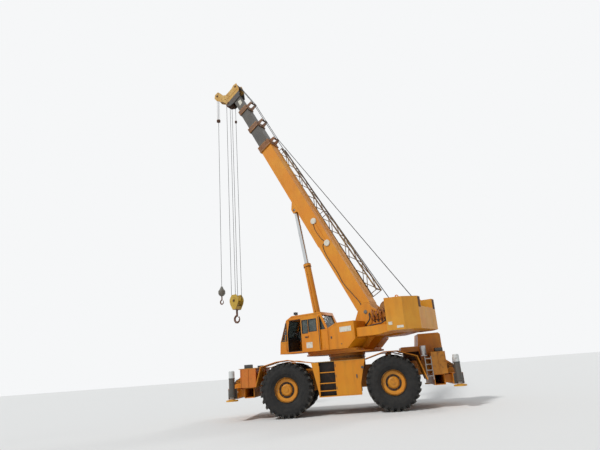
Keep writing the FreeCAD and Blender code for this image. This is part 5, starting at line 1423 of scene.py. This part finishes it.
@dataclass
class UpperWorks:
    """Turntable, side boxes, counterweight, winches and their hoses."""

    def hoses(self) -> None:
        """Hydraulic hoses from the turntable to the boom foot and the winches."""
        lines = Shape(Place.UPPER)
        routes = (
            [
                (-1.36, 0.40, 3.40), (-1.38, 0.47, 3.34), (-1.40, 0.50, 3.20), (-1.30, 0.50, 3.06),
                (-1.12, 0.47, 2.95), (-0.98, 0.40, 2.90),
            ],
            [
                (-2.02, 0.40, 3.08), (-1.96, 0.48, 3.05), (-1.84, 0.50, 2.98), (-1.68, 0.50, 2.97),
                (-1.35, 0.49, 2.93), (-1.00, 0.40, 2.88),
            ],
            [(0.30, 0.30, 2.14), (0.10, 0.24, 2.40), (-0.20, 0.26, 2.55), (-0.60, 0.30, 2.62)],
            [(0.30, -0.30, 2.14), (0.10, -0.24, 2.42), (-0.20, -0.26, 2.58), (-0.60, -0.30, 2.66)],
        )
        for route in routes:
            lines.hose(route, 0.024)
        lines.piece("turntable_hoses", "upper_works", BLACK)
        pipes = Shape(Place.UPPER)
        for number in range(7):
            x, high, low = -1.49 - number * 0.075, 3.50 - 0.04 * (number % 3), 3.13 + 0.03 * (number % 2)
            lean = 0.03 if number % 2 else -0.02
            pipes.hose(
                [
                    (x, 0.386, high), (x, 0.45, high - 0.01), (x + lean, 0.475, 3.30),
                    (x, 0.45, low + 0.01), (x, 0.386, low),
                ],
                0.017,
            )
        pipes.piece("winch_pipes", "upper_works", OXIDE)
        irons = Shape(Place.UPPER)
        for number in range(4):
            x = -1.55 - number * 0.14
            irons.bar((x, 0.386, 3.26 + 0.05 * number), (x, 0.47, 3.26 + 0.05 * number), 0.034, 12)
            irons.block((x - 0.03, 0.386, 3.06), (x + 0.02, 0.43, 3.20), 0.006)
        irons.bar((-2.2, 0.30, 3.66), (-2.2, 0.40, 3.66), 0.07, 20)
        irons.piece("valve_blocks", "upper_works", RUSTED)

    def boxes(self) -> None:
        """Door seams, a blank label and latches on the side boxes."""
        seams, labels = Shape(Place.UPPER), Shape(Place.UPPER)
        seams.band(
            [(-0.12, 2.24), (-0.12, 2.94), (-0.45, 3.09), (-1.14, 3.09), (-1.14, 2.52), (-0.84, 2.24)],
            0.014,
            1.368,
            1.375,
        )
        seams.band(
            [(0.36, 2.24), (0.36, 2.88), (-1.14, 2.88), (-1.14, 2.52), (-0.84, 2.24)], 0.014, -1.375, -1.368
        )
        seams.piece("box_seams", "upper_works", YELLOW)
        labels.block((-1.06, 1.369, 2.77), (-0.585, 1.374, 2.95))
        labels.piece("box_label", "upper_works", LABEL)
        irons = Shape(Place.UPPER)
        irons.block((-0.24, 1.368, 2.58), (-0.19, 1.388, 2.66), 0.004)
        irons.block((-0.24, -1.388, 2.58), (-0.19, -1.368, 2.66), 0.004)
        irons.bar((-0.62, 1.36, 2.36), (-0.62, 1.38, 2.36), 0.02, 14)
        irons.piece("box_latches", "upper_works", DARK)

    def weight(self) -> None:
        """Lifting eyes, blank labels and slabs of painted shade at the notch on the counterweight."""
        irons, labels = Shape(Place.UPPER), Shape(Place.UPPER)
        for y in (-1.05, 1.05):
            irons.ring(
                (-2.80, y, 3.75),
                (0, 1, 0),
                [(0.035, -0.02), (0.065, -0.02), (0.065, 0.02), (0.035, 0.02)],
                20,
            )
        irons.piece("lifting_eyes", "upper_works", YELLOW)
        for side in (1, -1):
            start, end = Vector((-2.49, side * 1.46)), Vector((-3.06, side * 1.28))
            ahead = (end - start).normalized()
            out = Vector((ahead.y, -ahead.x)) * (-side)
            if out.y * side < 0:
                out = -out
            for share, wide, low, high in ((0.10, 0.13, 2.80, 2.90), (0.55, 0.22, 2.68, 2.76)):
                foot = start + (end - start) * share + out * 0.002
                tip = foot + ahead * wide
                corners = [(*foot, low), (*tip, low), (*tip, high), (*foot, high)]
                depth = Vector((*(out * 0.005), 0.0))
                rings = [[labels.mesh.verts.new(Vector(c) + depth * k) for c in corners] for k in (0, 1)]
                labels.mesh.faces.new(rings[0])
                labels.mesh.faces.new(list(reversed(rings[1])))
                for here in range(4):
                    there = (here + 1) % 4
                    labels.mesh.faces.new(
                        (rings[0][here], rings[1][here], rings[1][there], rings[0][there])
                    )
        labels.piece("weight_labels", "upper_works", LABEL)
        # Painted shade: thin dark slabs in the rusted forging finish on the rear face, where the notch's
        # shaded inside shows.
        notch_shade = Shape(Place.UPPER)
        for side in (1, -1):
            low, high = sorted((side * 0.60, side * 0.785))
            notch_shade.block((-3.438, low, 3.34), (-3.42, high, 3.69), 0.004)
        notch_shade.piece("weight_notch_painted_shade", "upper_works", RUSTED)

    def drums(self) -> None:
        """Wound rope on each winch drum."""
        rope = Shape(Place.UPPER)
        for at in (-2.02, -2.83):
            for layer, radius in enumerate((0.222, 0.244)):
                count = 17 - layer
                for number in range(count):
                    y = -0.20 + 0.4 * (number + 0.5) / count
                    rope.ring(
                        (at, y, 3.5),
                        (0, 1, 0),
                        [
                            (radius - 0.011, 0.0), (radius - 0.004, 0.009), (radius + 0.006, 0.008),
                            (radius + 0.011, 0.0), (radius + 0.006, -0.008), (radius - 0.004, -0.009),
                        ],
                        36,
                    )
        rope.piece("wound_rope", "upper_works", ROPE)

    def build(self) -> None:
        """Dress and detail the upper works."""
        dress(YELLOW, "turntable", "side_boxes")
        dress(SUNNED, "counterweight")
        dress(WORN_AND_SHADED, "winches")
        self.hoses()
        self.boxes()
        self.weight()
        self.drums()


@dataclass
class Boom:
    """Boom sections, their collars, head, sheaves and the stowed jib."""

    half: float = 0.29
    tall: float = 0.31
    long: float = 9.9

    def base(self) -> None:
        """Collar straps, weld seams, the side hose and the two round covers on the base section."""
        collar = Shape(Place.BOOM)
        wide, tall = self.half + 0.048, self.tall + 0.048
        for start, end in ((9.54, 9.62), (9.83, 9.905)):
            collar.hoop((start, end), wide, tall, 0.01, 0.003)
        for side in (1, -1):
            for n in (0.18, -0.18):
                collar.nuts((9.73, side * (self.half + 0.045), n), (0, side, 0), 0.05, 4, 0.016, 0.014)
        collar.piece("base_collar_straps", "base_boom", COLLAR)
        seams = Shape(Place.BOOM)
        for side in (1, -1):
            y = side * (self.half + 0.001)
            seams.hose([(0.45, y, -0.20), (9.5, y, -0.20)], 0.006, smooth=1)
            seams.hose([(1.21, y, -0.30), (0.84, y, -0.09), (0.48, y, 0.02), (0.26, y, 0.25)], 0.007)
        seams.piece("boom_welds", "base_boom", BOOM_YELLOW)
        hose = Shape(Place.BOOM)
        y = self.half + 0.02
        hose.hose(
            [
                (3.42, y, 0.02), (3.36, y, -0.12), (2.9, y, -0.20), (2.1, y, -0.17), (1.5, y, -0.20),
                (0.9, y + 0.01, -0.10), (0.42, y + 0.03, -0.02), (0.12, y + 0.03, -0.12),
            ],
            0.013,
        )
        hose.hose([(4.5, y, 0.04), (4.2, y, -0.04), (3.75, y, -0.02), (3.5, y, 0.05)], 0.011)
        hose.piece("boom_hose", "base_boom", BLACK)
        covers = Shape(Place.BOOM)
        for s, proud in ((3.35, 0.048), (4.58, 0.060)):
            dome = [(0.0, 0.0), (0.135, 0.0), (0.135, proud - 0.012), (0.118, proud), (0.0, proud + 0.004)]
            covers.ring((s, self.half + 0.001, 0.11), (0, 1, 0), dome, 32)
        covers.piece("round_covers", "base_boom", LABEL)

    def stages(self) -> None:
        """Collar straps on each sliding section, and the pale mark on the last one."""
        tall, wide = self.tall, self.half
        front = self.long
        for number in (2, 3, 4):
            tall, wide, front = tall - 0.036, wide - 0.036, front + 1.45
            body = f"boom_stage_{number}"
            zones = (along_boom("#6A4424", front - 0.285),) if number < 4 else ()
            rubbed = ZonedEnamel(
                f"rubbed_stage_enamel_{number}",
                "dark_paint",
                base="#3F3D3A",
                chalked="#5A554D",
                grime="#241E19",
                chip="#5A3724",
                chips=0.64,
                streaks=0.45,
                gloss=0.5,
                zones=zones,
            )
            dress(rubbed, f"boom_section_{number}")
            if number < 4:
                straps = Shape(Place.BOOM)
                for ends in ((front - 0.285, front - 0.22), (front - 0.06, front + 0.004)):
                    straps.hoop(ends, wide + 0.043, tall + 0.043, 0.008, 0.002)
                straps.piece(f"stage_straps_{number}", body, COLLAR)
            else:
                mark = Shape(Place.BOOM)
                mark.slab(
                    [(13.12, -0.03), (13.47, 0.0), (13.43, 0.18), (13.16, 0.17)], wide - 0.001, wide + 0.004
                )
                mark.piece("stage_mark", body, LABEL)

    def head(self) -> None:
        """Side plates that hook forward over the sheaves, the top idlers, rope keepers and pin covers."""
        outline = [
            (13.63, 0.25), (13.63, -0.20), (13.70, -0.52), (13.84, -0.64), (14.14, -0.66), (14.45, -0.82), (
                14.80, -1.05
            ),
            (15.08, -1.10), (15.25, -0.97), (15.22, -0.72), (14.98, -0.63), (14.70, -0.55), (
                14.54, -0.40
            ), (14.52, 0.08),
            (14.60, 0.28), (14.53, 0.48), (14.14, 0.45),
        ]
        plates = Shape(Place.BOOM)
        for side in (1, -1):
            plates.slab(outline, *sorted((side * 0.1825, side * 0.2225)))
            plates.hose(
                [(14.45, side * 0.226, -0.74), (14.20, side * 0.226, -0.30), (14.16, side * 0.226, 0.34)],
                0.010,
                smooth=4,
            )
        plates.block((14.251, -0.183, -0.20), (14.31, 0.183, 0.17), 0.004)
        plates.block((14.47, -0.183, -0.40), (14.51, 0.183, 0.06), 0.004)
        plates.block((14.60, -0.183, -0.66), (14.95, 0.183, -0.64), 0.004)
        head = plates.piece("head_plates", "boom_stage_4", HEAD, edge=0.004)
        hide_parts("boom_head")
        idlers = Shape(Place.BOOM)
        groove = [
            (0.0, -0.025), (0.13, -0.025), (0.106, -0.007), (0.106, 0.007), (0.13, 0.025), (0.0, 0.025)
        ]
        for y in (-0.09, 0.09):
            idlers.ring((14.4, y, 0.33), (0, 1, 0), groove, 36)
        idlers.bar((14.4, -0.20, 0.33), (14.4, 0.20, 0.33), 0.045, 24)
        idlers.piece("head_idlers", "boom_stage_4", RUSTED)
        keepers = Shape(Place.BOOM)
        outer = 0.2225
        for side in (1, -1):
            y = side * outer
            for s, n in ((13.95, -0.52), (15.02, -0.88), (14.4, 0.33)):
                keepers.nuts((s, y, n), (0, side, 0), 0.068, 4, 0.011, 0.01)
                keepers.ring(
                    (s, y, n), (0, side, 0), [(0.0, 0.0), (0.055, 0.0), (0.05, 0.022), (0.0, 0.024)], 24
                )
        for s, n in ((13.72, -0.44), (14.19, -0.57), (15.20, -1.0), (15.15, -0.72)):
            keepers.bar((s, -outer + 0.01, n), (s, outer - 0.01, n), 0.014, 10)
        keepers.piece("rope_keepers", "boom_stage_4", RUSTED)

    def build(self) -> None:
        """Dress and detail the boom."""
        dress(BOOM_YELLOW, "boom_base")
        dress(HEAD, "boom_head")
        dress(GREASED, "boom_pin", "lift_pin", "lift_piston")
        dress(RUSTED, "main_sheaves", "whip_sheave")
        dress(LATTICE, "jib")
        dress(CHROME, "lift_rod")
        dress(BOOM_YELLOW, "lift_barrel")
        self.base()
        self.stages()
        self.head()


@dataclass
class LiftCylinder:
    """The gland and pipes of the lift cylinder."""

    gland: float = 3.45

    def build(self) -> None:
        """Bolt the gland and run the pipe along the barrel."""
        gland = Shape(Place.LIFT)
        gland.ring(
            (self.gland, 0, 0), (1, 0, 0), [(0.10, 0.0), (0.158, 0.0), (0.152, 0.018), (0.10, 0.018)], 36
        )
        gland.nuts((self.gland + 0.012, 0, 0), (1, 0, 0), 0.135, 12, 0.010, 0.012)
        gland.ring(
            (self.gland - 0.12, 0, 0),
            (1, 0, 0),
            [(0.144, -0.01), (0.168, -0.01), (0.168, 0.01), (0.144, 0.01)],
            36,
        )
        gland.piece("lift_gland_bolts", "cylinder_barrel", RUSTED)
        pipes = Shape(Place.LIFT)
        pipes.hose(
            [(0.35, 0.15, 0.02), (0.40, 0.165, 0.02), (3.20, 0.165, 0.02), (3.30, 0.155, 0.02)],
            0.011,
            smooth=3,
        )
        for s in (0.6, 1.4, 2.2, 3.0):
            pipes.block((s - 0.02, 0.135, -0.005), (s + 0.02, 0.182, 0.045), 0.004)
        pipes.piece("lift_pipe", "cylinder_barrel", BOOM_YELLOW)


@dataclass
class Hoist:
    """Rope falls that shorten with the hoists, the hook block and the weights."""

    head_along: float = 13.95
    head_below: float = 0.52
    whip_along: float = 15.02
    whip_below: float = 0.88
    low: float = 4.90
    rope: float = 0.011
    hoist_rope: float = 0.016
    whip_radius: float = 0.17
    whip_groove: float = 0.024
    line_gap: float = 0.0123
    weight_middle: float = 5.45
    main_travel: float = 9.2
    whip_travel: float = 9.15

    def _at(self, along: float, below: float) -> tuple[float, float]:
        """A point of the boom head in the upper works' X and Z."""
        lift = math.radians(62.5)
        return (
            -1.2 + along * math.cos(lift) + below * math.sin(lift),
            3.47 + along * math.sin(lift) - below * math.cos(lift),
        )

    def _whip_line(self) -> tuple[float, float]:
        """The whip line's X, where it leaves its sheave's groove, and the Z of the sheave's shaft."""
        x, top = self._at(self.whip_along, self.whip_below)
        return x + (self.whip_radius - self.whip_groove + self.line_gap), top

    def ropes(self) -> None:
        """Twisted ropes in place of the plain falls, flattened up to their sheaves by the hoist slides."""
        x, top = self._at(self.head_along, self.head_below)
        reach = 0.1983
        falls = Shape(Place.UPPER)
        for front in (1, -1):
            for y in (-0.135, 0.135):
                falls.bar((x + front * reach, y, self.low), (x + front * reach, y, top), self.rope, 10)
        ropes = falls.piece("main_rope_falls", "hanging_lines", ROPE)
        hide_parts("main_falls")
        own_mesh(ropes)
        x, top = self._whip_line()
        foot = self.weight_middle + 1.7 * self.whip_radius
        line = Shape(Place.UPPER)
        line.bar((x, 0, foot), (x, 0, top), self.rope, 10)
        whip = line.piece("whip_rope", "hanging_lines", ROPE)
        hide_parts("whip_line")
        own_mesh(whip)

    def _run(self, name: str, bodies: tuple[str, str], start: Point, end: Point) -> None:
        """One straight run of rope between two bodies that a joint joins, given in the boom's coordinates."""
        shape = Shape(Place.BOOM)
        steps = 24
        stations = [tuple(Vector(start).lerp(Vector(end), step / steps)) for step in range(steps + 1)]
        shape.hose(stations, self.hoist_rope, sides=8, smooth=1)
        matrix = Place.BOOM.matrix()
        ends = [tuple(matrix @ Vector(point)) for point in (start, end)]
        shape.piece(name, bodies[0], ROPE, between=(bodies[1], *ends))

    def lines(self) -> None:
        """The two hoist ropes from their drums over the rollers on the boom's back to the head."""
        bodies = ("base_boom", "boom_stage_2", "boom_stage_3", "boom_stage_4")
        rollers = [(9.75, 0.636), (11.20, 0.636), (12.65, 0.636), (14.41, 0.447)]
        for label, drum, turn, y in (
            ("main", (-0.30, 0.983), (1.6, 0.917), 0.09), ("whip", (-0.60, 1.69), (2.5, 1.37), -0.09)
        ):
            points = [(s, y, n) for s, n in (drum, turn, *rollers)]
            chain = ("upper_works", "boom_foot_pin", *bodies)
            for number, (start, end) in enumerate(zip(points, points[1:])):
                self._run(f"{label}_hoist_rope_{number}", (chain[number], chain[number + 1]), start, end)

    def chains(self) -> None:
        """Two thin chains that hold the whip's switch ring."""
        x, top = self._whip_line()
        links = Shape(Place.UPPER)
        for y in (-0.085, 0.085):
            links.bar((x, y, top - 1.355), (x, y, top - 0.02), 0.006, 6)
        links.piece("switch_chains", "hanging_lines", RUSTED)

    def block(self) -> None:
        """Cheek bolts, a bar label and the latch on the main block."""
        x, _ = self._at(self.head_along, self.head_below)
        irons = Shape(Place.UPPER)
        for side in (1, -1):
            irons.nuts((x, side * 0.196, 4.90), (0, side, 0), 0.07, 6, 0.012, 0.012)
            irons.ring(
                (x, side * 0.196, 4.90),
                (0, side, 0),
                [(0.0, 0.0), (0.048, 0.0), (0.044, 0.026), (0.0, 0.03)],
                24,
            )
            irons.bar((x - 0.2, side * 0.165, 5.10), (x + 0.2, side * 0.165, 5.10), 0.009, 8)
        irons.hose([(x - 0.01, 0.0, 4.20), (x - 0.06, 0.0, 4.16), (x - 0.105, 0.0, 4.10)], 0.012)
        irons.piece("block_irons", "main_hook_block", RUSTED)

    def build(self) -> None:
        """Dress and detail the hoist."""
        block = ZonedEnamel(
            "hook_block_enamel", "yellow_paint", base="#B08E2A", chalked="#C2A44A", chips=0.6,
            zones=(Zone("#5E3A22", 4.49, above=False),),
        )
        ball = ZonedEnamel(
            "whip_weight_enamel", "yellow_paint", base="#57564F", chalked="#6E6A60", chips=0.6,
            zones=(Zone("#5E3A22", 5.27, above=False),),
        )
        dress(block, "main_block")
        dress(ball, "whip_weight")
        dress(RUSTED, "rope_switches")
        self.ropes()
        self.lines()
        self.chains()
        self.block()


def main() -> None:
    """Build the studio, then each sub-assembly in order."""
    logging.basicConfig(level=logging.INFO, format="%(name)s: %(message)s")
    Studio().build()
    for assembly in (
        RunningGear(), Carrier(), Stands(), Cab(), UpperWorks(), Boom(), LiftCylinder(), Hoist()
    ):
        LOG.info("building %s", type(assembly).__name__)
        assembly.build()


if __name__ == "__main__":
    main()
